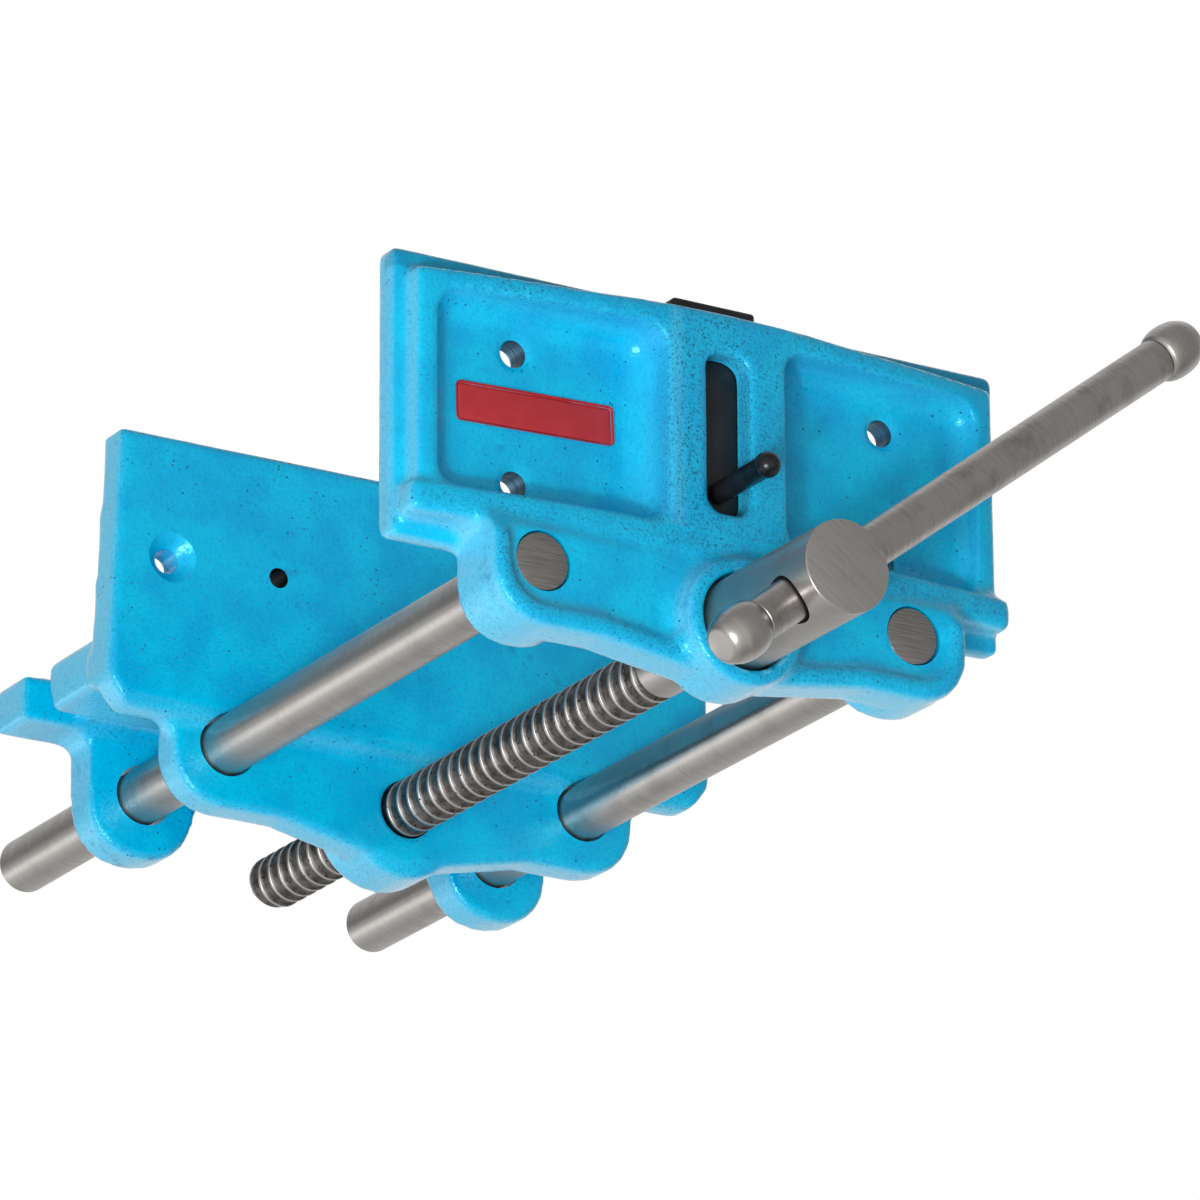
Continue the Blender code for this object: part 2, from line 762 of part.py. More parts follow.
def knob_profile():
    """Return a knob's (radius, height) pairs: bulged from the bar's edge, domed, with a flat tip."""
    neck = HANDLE_DIAMETER / 2
    profile = [(0, KNOB_LENGTH), (KNOB_FLAT, KNOB_LENGTH)]
    for step in range(1, DOME_STEPS + 1):
        angle = math.pi / 2 * step / DOME_STEPS
        radius = KNOB_FLAT + (KNOB_RADIUS - KNOB_FLAT) * math.sin(angle)
        profile.append((radius, KNOB_BELLY + (KNOB_LENGTH - KNOB_BELLY) * math.cos(angle)))
    for step in range(1, NECK_STEPS + 1):
        angle = math.pi / 2 * step / NECK_STEPS
        radius = neck + (KNOB_RADIUS - neck) * math.cos(angle)
        profile.append((radius, KNOB_BELLY * (1 - math.sin(angle))))
    profile += [
        (SPIGOT_RADIUS + FIT_GAP, 0),
        (SPIGOT_RADIUS + FIT_GAP, SPIGOT_LENGTH + FIT_GAP),
        (0, SPIGOT_LENGTH + FIT_GAP),
    ]
    return profile


def handle_knob(name, neck, side):
    """Build one knob, bored for the bar's spigot."""
    place = front(
        CROSS_DEPTH,
        side * neck * math.cos(HANDLE_SLOPE),
        side * neck * math.sin(HANDLE_SLOPE) - SCREW_DROP,
    )
    slope = ALONG_HANDLE if side > 0 else (0, ALONG_HANDLE[1] + math.pi, 0)
    knob = turned(name, knob_profile(), place, slope)
    return finish(knob, steel(name + "_steel", 0.5, 0.3))


def build_handle():
    """Build the sliding bar with a spigot at each end, and its knobs."""
    radius = HANDLE_DIAMETER / 2
    far = FAR_NECK - FIT_GAP
    near = -NEAR_NECK + FIT_GAP
    profile = [
        (0, far + SPIGOT_LENGTH),
        (SPIGOT_RADIUS, far + SPIGOT_LENGTH),
        (SPIGOT_RADIUS, far),
        (radius - EDGE_BREAK, far),
        (radius, far - EDGE_BREAK),
        (radius, near + EDGE_BREAK),
        (radius - EDGE_BREAK, near),
        (SPIGOT_RADIUS, near),
        (SPIGOT_RADIUS, near - SPIGOT_LENGTH),
        (0, near - SPIGOT_LENGTH),
    ]
    bar = turned("handle_bar", profile, front(CROSS_DEPTH, 0, -SCREW_DROP), ALONG_HANDLE)
    finish(bar, steel("handle_bar_steel", 0.5, 0.3))
    handle_knob("handle_knob_far", FAR_NECK, 1)
    handle_knob("handle_knob_near", NEAR_NECK, -1)


# Sliding dog.
LIFT_PIN_DROP = 0.0477
LIFT_PIN_RADIUS = 0.00265
LIFT_PIN_TIP = 0.0396
LIFT_PIN_SEAT = 0.006
BALL_RADIUS = 0.00315
DOG_CORNER = 0.0018
SPRING_THICKNESS = 0.0005
SPRING_HALF = 0.005
SPRING_TOP = 0.014
SPRING_BOTTOM = 0.052
SPRING_BOW = 0.0011
SPRING_STEPS = 12
RIVET_DROP = 0.048
RIVET_RADIUS = 0.0012
RIVET_HEAD = 0.0022
RIVET_TOP_SHARE = 0.7
RIVET_HEAD_HEIGHT = 0.0008
RIVET_LENGTH = 0.0025


def build_dog():
    """Build the dog bar and its round lifting pin."""
    outline = rounded(
        [
            (-DOG_HALF, DOG_TOP, DOG_CORNER),
            (DOG_HALF, DOG_TOP, DOG_CORNER),
            (DOG_HALF, -DOG_BOTTOM, 0),
            (-DOG_HALF, -DOG_BOTTOM, 0),
        ]
    )
    middle = (DOG_FRONT + DOG_BACK) / 2
    bar = prism("dog_bar", outline, DOG_FRONT - DOG_BACK, front(middle), FACING_FRONT, PARTS)
    bevel(bar, EDGE_BREAK, 1)
    seat = DOG_FRONT - LIFT_PIN_SEAT
    pin_bore = rod(
        "lift_pin_bore",
        LIFT_PIN_RADIUS + FIT_GAP,
        TOOL_REACH,
        front(seat - FIT_GAP + TOOL_REACH / 2, 0, -LIFT_PIN_DROP),
        sides=PIN_SIDES,
    )
    rivet_bore = rod(
        "rivet_bore",
        RIVET_RADIUS + FIT_GAP,
        2 * (RIVET_LENGTH + FIT_GAP),
        front(DOG_BACK, 0, -RIVET_DROP),
        sides=PIN_SIDES,
    )
    cut(bar, pin_bore, rivet_bore)
    finish(bar, material("dog_black_oxide", (0.015, 0.016, 0.02), 0.4, 0.6))
    neck = math.sqrt(BALL_RADIUS**2 - LIFT_PIN_RADIUS**2)
    centre = LIFT_PIN_TIP - BALL_RADIUS
    profile = [(0, LIFT_PIN_TIP)]
    for step in range(1, DOME_STEPS * 2):
        angle = (math.pi - math.atan2(LIFT_PIN_RADIUS, neck)) * step / (DOME_STEPS * 2)
        profile.append((BALL_RADIUS * math.sin(angle), centre + BALL_RADIUS * math.cos(angle)))
    profile += [(LIFT_PIN_RADIUS, centre - neck), (LIFT_PIN_RADIUS, seat), (0, seat)]
    pin = turned("dog_pin", profile, front(0, 0, -LIFT_PIN_DROP), FACING_FRONT, sides=PIN_SIDES)
    finish(pin, material("dog_pin_black_oxide", (0.02, 0.022, 0.027), 0.3, 0.7))


def build_dog_spring():
    """Build the bowed leaf spring behind the dog and the rivet that holds it."""
    near = DOG_BACK - FIT_GAP
    length = SPRING_BOTTOM - SPRING_TOP
    span = RIVET_DROP - RIVET_HEAD * 2 - SPRING_TOP
    rows = []
    for step in range(SPRING_STEPS + 1):
        down = length * step / SPRING_STEPS
        lift = SPRING_BOW * math.sin(math.pi * min(1, down / span))
        rows.append((-near + max(0, lift), -SPRING_TOP - down))
    section = rows + [(y + SPRING_THICKNESS, z) for y, z in reversed(rows)]
    leaf = prism("dog_spring", section, SPRING_HALF * 2, front(0), FACING_SIDE, PARTS)
    hole_place = front(near, 0, -RIVET_DROP)
    hole = rod("spring_hole", RIVET_RADIUS + FIT_GAP, TOOL_REACH / 4, hole_place, sides=PIN_SIDES)
    cut(leaf, hole)
    finish(leaf, steel("dog_spring_steel", 0.35, 0.35))
    head_front = near - SPRING_THICKNESS - FIT_GAP
    profile = [
        (0, DOG_BACK + RIVET_LENGTH),
        (RIVET_RADIUS, DOG_BACK + RIVET_LENGTH),
        (RIVET_RADIUS, head_front),
        (RIVET_HEAD, head_front),
        (RIVET_HEAD * RIVET_TOP_SHARE, head_front - RIVET_HEAD_HEIGHT),
        (0, head_front - RIVET_HEAD_HEIGHT),
    ]
    rivet = turned("dog_spring_rivet", profile, front(0, 0, -RIVET_DROP), FACING_FRONT, sides=PIN_SIDES)
    finish(rivet, steel("dog_spring_rivet_steel", 0.4, 0.4))


# Rear jaw.  Its places are measured from its own clamp face, so the rear is at +Y.
REAR_HEIGHT = 0.0707
REAR_STEP = 0.0044
FLARE_HALF = 0.0848
FLARE_START = 0.045
FLARE_TOP = 0.0575
FLARE_BOTTOM = 0.064
FOOT_HALF = 0.0795
REAR_APRON_BACK = 0.0139
REAR_APRON_HALF = 0.0646
REAR_APRON_BOTTOM = 0.0904
REAR_LOBE = 0.0143
REAR_MIDDLE = 0.0978
REAR_SHOULDER = 0.005
REAR_FILLET = 0.004
REAR_BOSS_RADIUS = 0.0167
REAR_BORE = 0.00765
SCREW_CLEARANCE = 0.00775
FLANGE_THICKNESS = 0.0083
FLANGE_THICK = 0.0114
NOTCH_FRONT = 0.038
NOTCH_BACK = 0.0458
NOTCH_DEPTH = 0.013
FLANGE_CORNER = 0.003
EAR_FRONT = 0.0477
EAR_BACK = 0.0584
EAR_HALF = 0.0142
EAR_ROUND_SHARE = 0.95
EAR_BOTTOM = 0.0911
EAR_X = 0.0508
EAR_SHOULDER = 0.0095
EAR_FILLET = 0.004
EAR_OVERLAP = 0.004
COUNTERSINK_X = 0.0685
COUNTERSINK_DROP = 0.0312
COUNTERSINK_BORE = 0.0032
COUNTERSINK_RADIUS = 0.00615
SMALL_HOLE_X = 0.0391
SMALL_HOLE_RADIUS = 0.0026


def rear_plate():
    """Return the rear jaw's plate, whose sides flare a little above the foot."""
    outline = rounded(
        mirrored(
            [
                (HALF_JAW, 0, 0),
                (HALF_JAW, -FLARE_START, 0),
                (FLARE_HALF, -FLARE_TOP, REAR_SHOULDER),
                (FLARE_HALF, -FLARE_BOTTOM, REAR_SHOULDER),
                (FOOT_HALF, -REAR_HEIGHT, REAR_SHOULDER),
            ]
        )
    )
    return prism("rear_jaw", outline, REAR_PLATE, (0, REAR_PLATE / 2, 0), FACING_FRONT, PARTS, CAST_ROUND)


def foot_cutter():
    """Return the cutter that rounds the rear plate's clamp face back at its foot."""
    top = REAR_HEIGHT - REAR_STEP
    section = []
    for part in range(ARC_STEPS + 1):
        angle = math.pi / 2 * part / ARC_STEPS
        section.append((REAR_STEP - REAR_STEP * math.cos(angle), -top - REAR_STEP * math.sin(angle)))
    below = -REAR_HEIGHT - REAR_STEP
    section += [(REAR_STEP, below), (-REAR_STEP, below), (-REAR_STEP, -top)]
    return prism("foot_round", section, JAW_WIDTH + TOOL_REACH, (0, 0, 0), FACING_SIDE)


def rear_apron():
    """Return the apron under the rear plate with a lobe around each rod."""
    outline = rounded(
        mirrored(
            [
                (REAR_APRON_HALF, -SHELF_TOP, 0),
                (REAR_APRON_HALF, -REAR_APRON_BOTTOM, REAR_LOBE),
                (WEB_INNER, -REAR_APRON_BOTTOM, 0),
                (0, -REAR_MIDDLE, 0),
            ]
        )
    )
    depth = REAR_APRON_BACK - REAR_STEP
    place = (0, (REAR_APRON_BACK + REAR_STEP) / 2, 0)
    return prism("rear_apron", outline, depth, place, FACING_FRONT, edge=CAST_ROUND)


def flange():
    """Return the notched sheet of the mounting flange and its thicker front."""
    near = REAR_PLATE / 2
    throat = HALF_JAW - NOTCH_DEPTH
    notch = (NOTCH_BACK - NOTCH_FRONT) / 2
    outline = rounded(
        mirrored(
            [
                (HALF_JAW, near, 0),
                (HALF_JAW, NOTCH_FRONT, FLANGE_CORNER),
                (throat, NOTCH_FRONT, notch),
                (throat, NOTCH_BACK, notch),
                (HALF_JAW, NOTCH_BACK, FLANGE_CORNER),
                (HALF_JAW, FLANGE_REACH, FLANGE_CORNER),
            ]
        )
    )
    middle = -(FLANGE_DROP + FLANGE_THICKNESS / 2)
    sheet = prism("flange", outline, FLANGE_THICKNESS, (0, 0, middle), edge=CAST_ROUND)
    thick_outline = rounded(
        [
            (-HALF_JAW + EDGE_BREAK, near, 0),
            (HALF_JAW - EDGE_BREAK, near, 0),
            (HALF_JAW - EDGE_BREAK, NOTCH_FRONT - EDGE_BREAK, FLANGE_CORNER),
            (-HALF_JAW + EDGE_BREAK, NOTCH_FRONT - EDGE_BREAK, FLANGE_CORNER),
        ]
    )
    drop = FLANGE_DROP + (FLANGE_THICKNESS + FLANGE_THICK) / 2
    place = (0, 0, -drop + FLANGE_THICKNESS / 2)
    thick = prism("flange_front", thick_outline, FLANGE_THICK, place, edge=CAST_ROUND)
    return sheet, thick


def ear(name, side):
    """Return one ear that hangs from the flange and guides a rod."""
    x = side * EAR_X
    root = FLANGE_DROP + FLANGE_THICKNESS
    outline = rounded(
        [
            (x - EAR_HALF - EAR_SHOULDER, -root + EAR_OVERLAP, 0),
            (x + EAR_HALF + EAR_SHOULDER, -root + EAR_OVERLAP, 0),
            (x + EAR_HALF + EAR_SHOULDER, -root, 0),
            (x + EAR_HALF, -root, EAR_FILLET),
            (x + EAR_HALF, -EAR_BOTTOM, EAR_HALF * EAR_ROUND_SHARE),
            (x - EAR_HALF, -EAR_BOTTOM, EAR_HALF * EAR_ROUND_SHARE),
            (x - EAR_HALF, -root, EAR_FILLET),
            (x - EAR_HALF - EAR_SHOULDER, -root, 0),
        ]
    )
    place = (0, (EAR_FRONT + EAR_BACK) / 2, 0)
    return prism(name, outline, EAR_BACK - EAR_FRONT, place, FACING_FRONT, edge=CAST_ROUND)


def plate_holes():
    """Return the cutters of the rear plate's screw holes: two countersunk and two plain."""
    drills = []
    sinks = []
    cone = COUNTERSINK_RADIUS - COUNTERSINK_BORE
    for index, x_side in enumerate((-1, 1)):
        outer = (x_side * COUNTERSINK_X, 0, -COUNTERSINK_DROP)
        inner = (x_side * SMALL_HOLE_X, 0, -COUNTERSINK_DROP)
        drills.append(rod(f"sunk_{index}", COUNTERSINK_BORE, TOOL_REACH, outer, sides=PIN_SIDES))
        drills.append(rod(f"plain_{index}", SMALL_HOLE_RADIUS, TOOL_REACH, inner, sides=PIN_SIDES))
        sink = rod(
            f"sink_{index}",
            COUNTERSINK_BORE,
            cone * 2,
            outer,
            end_radius=COUNTERSINK_RADIUS + cone,
            sides=PIN_SIDES,
        )
        sinks.append(sink)
    return fuse_meshes("plate_drills", drills), fuse_meshes("countersinks", sinks)


def build_rear_jaw():
    """Build the rear jaw casting."""
    jaw = rear_plate()
    cut(jaw, foot_cutter())
    ears = fuse_meshes("ears", [ear("ear_left", -1), ear("ear_right", 1)])
    boss_depth = REAR_BOSS_BACK - REAR_STEP - CAST_ROUND
    boss_place = (0, REAR_BOSS_BACK - boss_depth / 2, -SCREW_DROP)
    boss = bevel(rod("rear_boss", REAR_BOSS_RADIUS, boss_depth, boss_place), CAST_ROUND)
    far = REAR_PLATE - EDGE_BREAK
    fillets = root_fillets("rear_fillets", REAR_APRON_HALF, REAR_HEIGHT, REAR_FILLET, REAR_STEP, far)
    join(jaw, rear_apron(), fillets, boss, *flange(), ears)
    bores = rod_bores("rear_rod_bores", REAR_BORE, TOOL_REACH * 4, REAR_PLATE)
    clearance = rod("screw_clearance", SCREW_CLEARANCE, TOOL_REACH, (0, 0, -SCREW_DROP))
    seat_front = NUT_FRONT - FIT_GAP
    seat = rod("nut_seat", NUT_RADIUS + FIT_GAP, TOOL_REACH, (0, seat_front + TOOL_REACH / 2, -SCREW_DROP))
    reach = REAR_BOSS_RADIUS - SCREW_RADIUS - EDGE_BREAK
    pin_bore = nut_pin("nut_pin_bore", NUT_PIN_RADIUS + FIT_GAP, reach, CUTTERS)
    pin_bore.location.z += EDGE_BREAK * 4
    cut(jaw, bores, clearance, seat, pin_bore, *plate_holes())
    return finish(jaw, blue_enamel("rear_jaw_enamel"))


build_rear_jaw()
build_nut()
build_front_jaw()
build_guide_rods()
build_lead_screw()
build_screw_fittings()
build_handle()
build_dog()
build_dog_spring()
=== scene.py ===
"""Looks of a woodworking vise: painted castings, turned steel and a bench-side studio.

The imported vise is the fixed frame.  Each class below remakes or dresses one sub-assembly in
that frame: the two castings get their soft cast fillets and machined bores, the lead screw its
thread, the bars and pins their turned edges, and every surface its finish.

Axes: +X to the right seen from the front, +Y to the rear, +Z up.  Lengths are in metres.
"""

import json
import logging
import math
from collections.abc import Callable
from dataclasses import dataclass

import bpy
from mathutils import Euler, Matrix, Vector


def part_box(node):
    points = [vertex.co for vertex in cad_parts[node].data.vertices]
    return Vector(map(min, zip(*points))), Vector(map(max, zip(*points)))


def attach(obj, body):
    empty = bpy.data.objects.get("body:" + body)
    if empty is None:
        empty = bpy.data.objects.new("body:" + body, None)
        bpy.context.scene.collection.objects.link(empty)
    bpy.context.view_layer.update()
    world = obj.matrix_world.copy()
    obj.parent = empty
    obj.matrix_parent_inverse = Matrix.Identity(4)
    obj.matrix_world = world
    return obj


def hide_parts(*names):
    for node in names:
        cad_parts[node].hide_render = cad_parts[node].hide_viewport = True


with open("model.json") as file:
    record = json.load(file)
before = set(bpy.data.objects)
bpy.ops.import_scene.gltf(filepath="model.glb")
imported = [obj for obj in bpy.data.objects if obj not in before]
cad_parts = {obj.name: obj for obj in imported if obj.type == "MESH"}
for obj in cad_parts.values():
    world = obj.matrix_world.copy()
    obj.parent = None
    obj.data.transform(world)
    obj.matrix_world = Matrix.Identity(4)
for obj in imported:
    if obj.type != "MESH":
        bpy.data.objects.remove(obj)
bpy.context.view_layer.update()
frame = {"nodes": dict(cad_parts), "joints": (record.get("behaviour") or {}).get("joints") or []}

LOG = logging.getLogger("vise")
MM = 0.001
TURN = 2 * math.pi
WELD = 0.000001
RUBBED = "rubbed"
# Share of a painted pale sheen, a painted reflection on side and lower faces.
PALE_SHEEN = "painted_pale_sheen"
# Share of painted shade on the front jaw's ledge above the rim.
LEDGE_SHADE = "painted_ledge_shade"

Piece = bpy.types.Object
Point = tuple[float, float]


def linear(code: str) -> tuple[float, float, float, float]:
    """Turn an sRGB hex colour into linear light.

    Args:
        code: Six hex digits after a hash sign.

    Returns:
        The colour as linear red, green and blue, with an alpha of one.
    """
    shares = [int(code[place : place + 2], 16) / 255 for place in (1, 3, 5)]
    light = [share / 12.92 if share <= 0.04045 else ((share + 0.055) / 1.055) ** 2.4 for share in shares]
    return (*light, 1.0)


def add_node(tree: bpy.types.NodeTree, kind: str, links: dict | None = None, **settings: object) -> bpy.types.Node:
    """Add one node with its settings, values and links.

    Args:
        tree: The node tree that gets the node.
        kind: Blender's name for the node type.
        links: Socket name or number to a source socket or a plain value.
        **settings: The node's own properties.

    Returns:
        The new node.
    """
    item = tree.nodes.new(kind)
    for name, value in settings.items():
        setattr(item, name, value)
    for socket, source in (links or {}).items():
        if isinstance(source, bpy.types.NodeSocket):
            tree.links.new(source, item.inputs[socket])
        else:
            item.inputs[socket].default_value = source
    return item


def new_material(name: str) -> tuple[bpy.types.Material, bpy.types.NodeTree, bpy.types.Node]:
    """Start a material.

    Args:
        name: What the finish is.

    Returns:
        The material, its node tree and its Principled shader.
    """
    look = bpy.data.materials.new(name)
    look.use_nodes = True
    return look, look.node_tree, look.node_tree.nodes["Principled BSDF"]


def grade(tree: bpy.types.NodeTree, source: bpy.types.NodeSocket, stops: list[tuple[float, str]]) -> bpy.types.Node:
    """Colour a value between two or more stops.

    Args:
        tree: The material's node tree.
        source: The value that is coloured.
        stops: Place and hex colour of each stop, low to high.

    Returns:
        The colour ramp node.
    """
    ramp = add_node(tree, "ShaderNodeValToRGB", {"Fac": source})
    while len(ramp.color_ramp.elements) < len(stops):
        ramp.color_ramp.elements.new(0.5)
    for element, (place, code) in zip(ramp.color_ramp.elements, stops):
        element.position = place
        element.color = linear(code)
    return ramp


@dataclass(frozen=True)
class CastEnamel:
    """Gloss alkyd enamel sprayed on sand-cast iron, which keeps the sand's grain under the gloss."""

    name: str = "gloss_enamel_on_sand_cast_iron"
    thick: str = "#00C1EC"
    thin: str = "#00AFE2"
    rubbed: str = "#0F5C80"
    chalky: str = "#24A8D8"
    # Painted reflection: the pale colour painted on side and lower faces.
    painted_sheen: str = "#68CAEE"
    smudge: str = "#0478AE"
    pit: str = "#042A3C"
    # Painted shade: the dark navy laid on the ledge above the rim.
    painted_ledge_shade: str = "#022A50"
    # Near black for the jaws' top edges.
    top_edge_black: str = "#0C1A22"
    top: float = 0.0
    roughness: float = 0.13
    grain: float = 0.8 * MM
    wave: float = 6 * MM
    speck: float = 1.9 * MM
    patch: float = 26 * MM

    def build(self) -> bpy.types.Material:
        """Make the material: pebbled gloss, proud faces rubbed chalky and speckled, casting pits."""
        look, tree, shader = new_material(self.name)
        spot = add_node(tree, "ShaderNodeTexCoord").outputs["Object"]
        # Share of rubbing that the casting stores at each vertex: rims, ribs and lips.
        rubbed = add_node(tree, "ShaderNodeAttribute", attribute_name=RUBBED).outputs["Fac"]
        grain = self.noise(tree, spot, self.grain, 2.0, 0.55)
        wave = self.noise(tree, spot, self.wave, 2.0, 0.5)
        patch = self.noise(tree, spot, self.patch, 3.0, 0.6)
        fine = self.noise(tree, spot, self.grain * 0.75, 2.0, 0.6)
        blot = self.noise(tree, spot, self.grain * 4, 3.0, 0.6)
        # Rubbing comes and goes over a rim in broad patches.
        uneven = self.span(tree, patch, 0.35, 0.6, 0.45, 1.0)
        worn = self.times(tree, rubbed, uneven)
        # The rubbed grain shows as fine dark specks, the size of moulding sand.
        specks = self.times(tree, worn, self.span(tree, fine, 0.47, 0.33, 0.0, 1.0))
        # Painted reflection: side and lower faces are painted pale, for the white surroundings that they reflect at a
        # slant.
        sheen_share = add_node(tree, "ShaderNodeAttribute", attribute_name=PALE_SHEEN).outputs["Fac"]
        # Painted shade: darkening laid on the front jaw's plate above the rim, where the rim shades it.
        ledge_shade = add_node(tree, "ShaderNodeAttribute", attribute_name=LEDGE_SHADE).outputs["Fac"]
        # Between the sand's grains the enamel is darker.
        hollow = self.span(tree, grain, 0.52, 0.34, 0.0, 0.24)
        # Fingerprints of dirty oil: a few clusters of soft blots.
        dirty = self.span(tree, patch, 0.62, 0.7, 0.0, 0.75)
        blots = self.times(tree, dirty, self.span(tree, blot, 0.5, 0.6, 0.0, 1.0))
        # Pits left by sand grains and gas, in loose flocks and near black.
        cells = add_node(tree, "ShaderNodeTexVoronoi", {"Vector": spot, "Scale": 1 / self.speck})
        dot = self.span(tree, cells.outputs["Distance"], 0.17, 0.1, 0.0, 1.0)
        flock = self.span(tree, self.noise(tree, spot, self.speck * 4, 2.0, 0.6), 0.5, 0.62, 0.0, 0.85)
        pits = self.times(tree, dot, flock)
        # The enamel is thinner and deeper in tone in places, as it has run.
        run = self.noise(tree, spot, self.patch / 2, 2.0, 0.5)
        coat = grade(tree, run, [(0.38, self.thin), (0.6, self.thick)]).outputs["Color"]
        chalk = self.blend(tree, self.times(tree, worn, 0.55), coat, self.chalky)
        # Painted reflection: the pale sheen goes into the base colour.
        pale = self.blend(tree, self.times(tree, sheen_share, 0.8), chalk, self.painted_sheen)
        grainy = self.blend(tree, hollow, pale, self.smudge)
        stained = self.blend(tree, blots, grainy, self.smudge)
        speckled = self.blend(tree, specks, stained, self.rubbed)
        pocked = self.blend(tree, pits, speckled, self.pit)
        # Painted shade goes into the base colour on the ledge above the rim.
        pitted = self.blend(tree, ledge_shade, pocked, self.painted_ledge_shade)
        # The enamel turns near black along the jaws' top edges.
        height = add_node(tree, "ShaderNodeSeparateXYZ", {"Vector": spot}).outputs["Z"]
        ragged = self.span(tree, blot, 0.3, 0.7, self.top + 0.3 * MM, self.top - 0.7 * MM)
        above = add_node(tree, "ShaderNodeMath", {0: height, 1: ragged}, operation="SUBTRACT").outputs["Value"]
        top_black = self.span(tree, above, -0.1 * MM, 0.15 * MM, 0.0, 0.92)
        tree.links.new(self.blend(tree, top_black, pitted, self.top_edge_black), shader.inputs["Base Color"])
        shader.inputs["IOR"].default_value = 1.6
        # A thin film takes on the paint's blue where it is looked at squarely.
        shader.inputs["Specular Tint"].default_value = linear("#5ADCF5")
        shader.inputs["Coat Weight"].default_value = 0.36
        shader.inputs["Coat Roughness"].default_value = 0.05
        gloss = self.span(tree, worn, 0.0, 1.0, self.roughness, self.roughness + 0.2)
        tree.links.new(gloss, shader.inputs["Roughness"])
        swell = add_node(tree, "ShaderNodeBump", {"Height": wave, "Strength": 0.4, "Distance": 0.2 * MM})
        # The pebbles roughen the edge of a lamp's glint.
        coarse = self.span(tree, worn, 0.0, 1.0, 0.7, 1.0)
        lift = {"Height": grain, "Normal": swell.outputs["Normal"], "Strength": coarse, "Distance": 0.24 * MM}
        pebble = add_node(tree, "ShaderNodeBump", lift)
        hole = {"Height": pits, "Normal": pebble.outputs["Normal"], "Strength": 0.6, "Distance": 0.2 * MM}
        dent = add_node(tree, "ShaderNodeBump", hole, invert=True)
        tree.links.new(dent.outputs["Normal"], shader.inputs["Normal"])
        tree.links.new(dent.outputs["Normal"], shader.inputs["Coat Normal"])
        return look

    @staticmethod
    def times(tree: bpy.types.NodeTree, first: object, second: object) -> object:
        """Multiply two values and return the product."""
        return add_node(tree, "ShaderNodeMath", {0: first, 1: second}, operation="MULTIPLY").outputs["Value"]

    @staticmethod
    def noise(tree: bpy.types.NodeTree, spot: object, size: float, detail: float, rough: float) -> object:
        """Add a noise of one feature size and return its value."""
        links = {"Vector": spot, "Scale": 1 / size, "Detail": detail, "Roughness": rough}
        return add_node(tree, "ShaderNodeTexNoise", links).outputs["Fac"]

    @staticmethod
    def span(tree: bpy.types.NodeTree, value: object, low: float, high: float, start: float, end: float) -> object:
        """Map a value from one span to another, clamped, and return it."""
        links = {"Value": value, "From Min": low, "From Max": high, "To Min": start, "To Max": end}
        return add_node(tree, "ShaderNodeMapRange", links).outputs["Result"]

    @staticmethod
    def blend(tree: bpy.types.NodeTree, share: object, under: object, code: str) -> object:
        """Lay a plain colour over another by a share and return the result."""
        return add_node(tree, "ShaderNodeMix", {0: share, 6: under, 7: linear(code)}, data_type="RGBA").outputs[2]


@dataclass(frozen=True)
class CutSteel:
    """Bare steel left as a tool cut it: fine parallel lines that smear highlights across them.

    The lines run square to the pattern's own X axis, which `turn` lays along the piece.
    """

    name: str
    bright: str = "#B4AFA9"
    dull: str = "#8C8781"
    roughness: float = 0.3
    line: float = 0.35 * MM
    streak: float = 9 * MM
    depth: float = 0.02 * MM
    stain: str = "#5C544E"
    staining: float = 0.25
    turn: tuple[float, float, float] = (0.0, 0.0, 0.0)
    smear: float = 0.0

    def build(self) -> bpy.types.Material:
        """Make the material: tool lines in height, tone and gloss, and cloudy stains."""
        look, tree, shader = new_material(self.name)
        spot = add_node(tree, "ShaderNodeTexCoord").outputs["Object"]
        laid = add_node(tree, "ShaderNodeMapping", {"Vector": spot, "Rotation": self.turn}, vector_type="TEXTURE")
        # Long in Y and Z, short in X: that is the tool's mark.
        drawn = add_node(
            tree,
            "ShaderNodeMapping",
            {"Vector": laid.outputs["Vector"], "Scale": (1 / self.line, 1 / self.streak, 1 / self.streak)},
        )
        lines = add_node(
            tree, "ShaderNodeTexNoise", {"Vector": drawn.outputs["Vector"], "Scale": 1.0, "Detail": 4.0}
        )
        cloud = add_node(
            tree, "ShaderNodeTexNoise", {"Vector": spot, "Scale": 1 / (11 * MM), "Detail": 4.0, "Roughness": 0.65}
        )
        tone = grade(tree, lines.outputs["Fac"], [(0.35, self.dull), (0.65, self.bright)])
        stained = add_node(
            tree, "ShaderNodeMapRange", {"Value": cloud.outputs["Fac"], "From Min": 0.5, "From Max": 0.75,
                                         "To Max": self.staining}
        )
        mixed = add_node(
            tree,
            "ShaderNodeMix",
            {"Factor": stained.outputs["Result"], 6: tone.outputs["Color"], 7: linear(self.stain)},
            data_type="RGBA",
        )
        gloss = add_node(
            tree,
            "ShaderNodeMapRange",
            {
                "Value": lines.outputs["Fac"],
                "From Min": 0.3,
                "From Max": 0.7,
                "To Min": self.roughness + 0.08,
                "To Max": self.roughness - 0.05,
            },
        )
        tree.links.new(mixed.outputs[2], shader.inputs["Base Color"])
        tree.links.new(gloss.outputs["Result"], shader.inputs["Roughness"])
        shader.inputs["Metallic"].default_value = 1.0
        if self.smear:
            # Grinding runs around the bar, so reflections are drawn out along it.
            around = add_node(tree, "ShaderNodeTangent", direction_type="RADIAL", axis="Y")
            tree.links.new(around.outputs["Tangent"], shader.inputs["Tangent"])
            shader.inputs["Anisotropic"].default_value = self.smear
            shader.inputs["Anisotropic Rotation"].default_value = 0.25
        marks = add_node(
            tree, "ShaderNodeBump", {"Height": lines.outputs["Fac"], "Strength": 0.5, "Distance": self.depth}
        )
        tree.links.new(marks.outputs["Normal"], shader.inputs["Normal"])
        return look


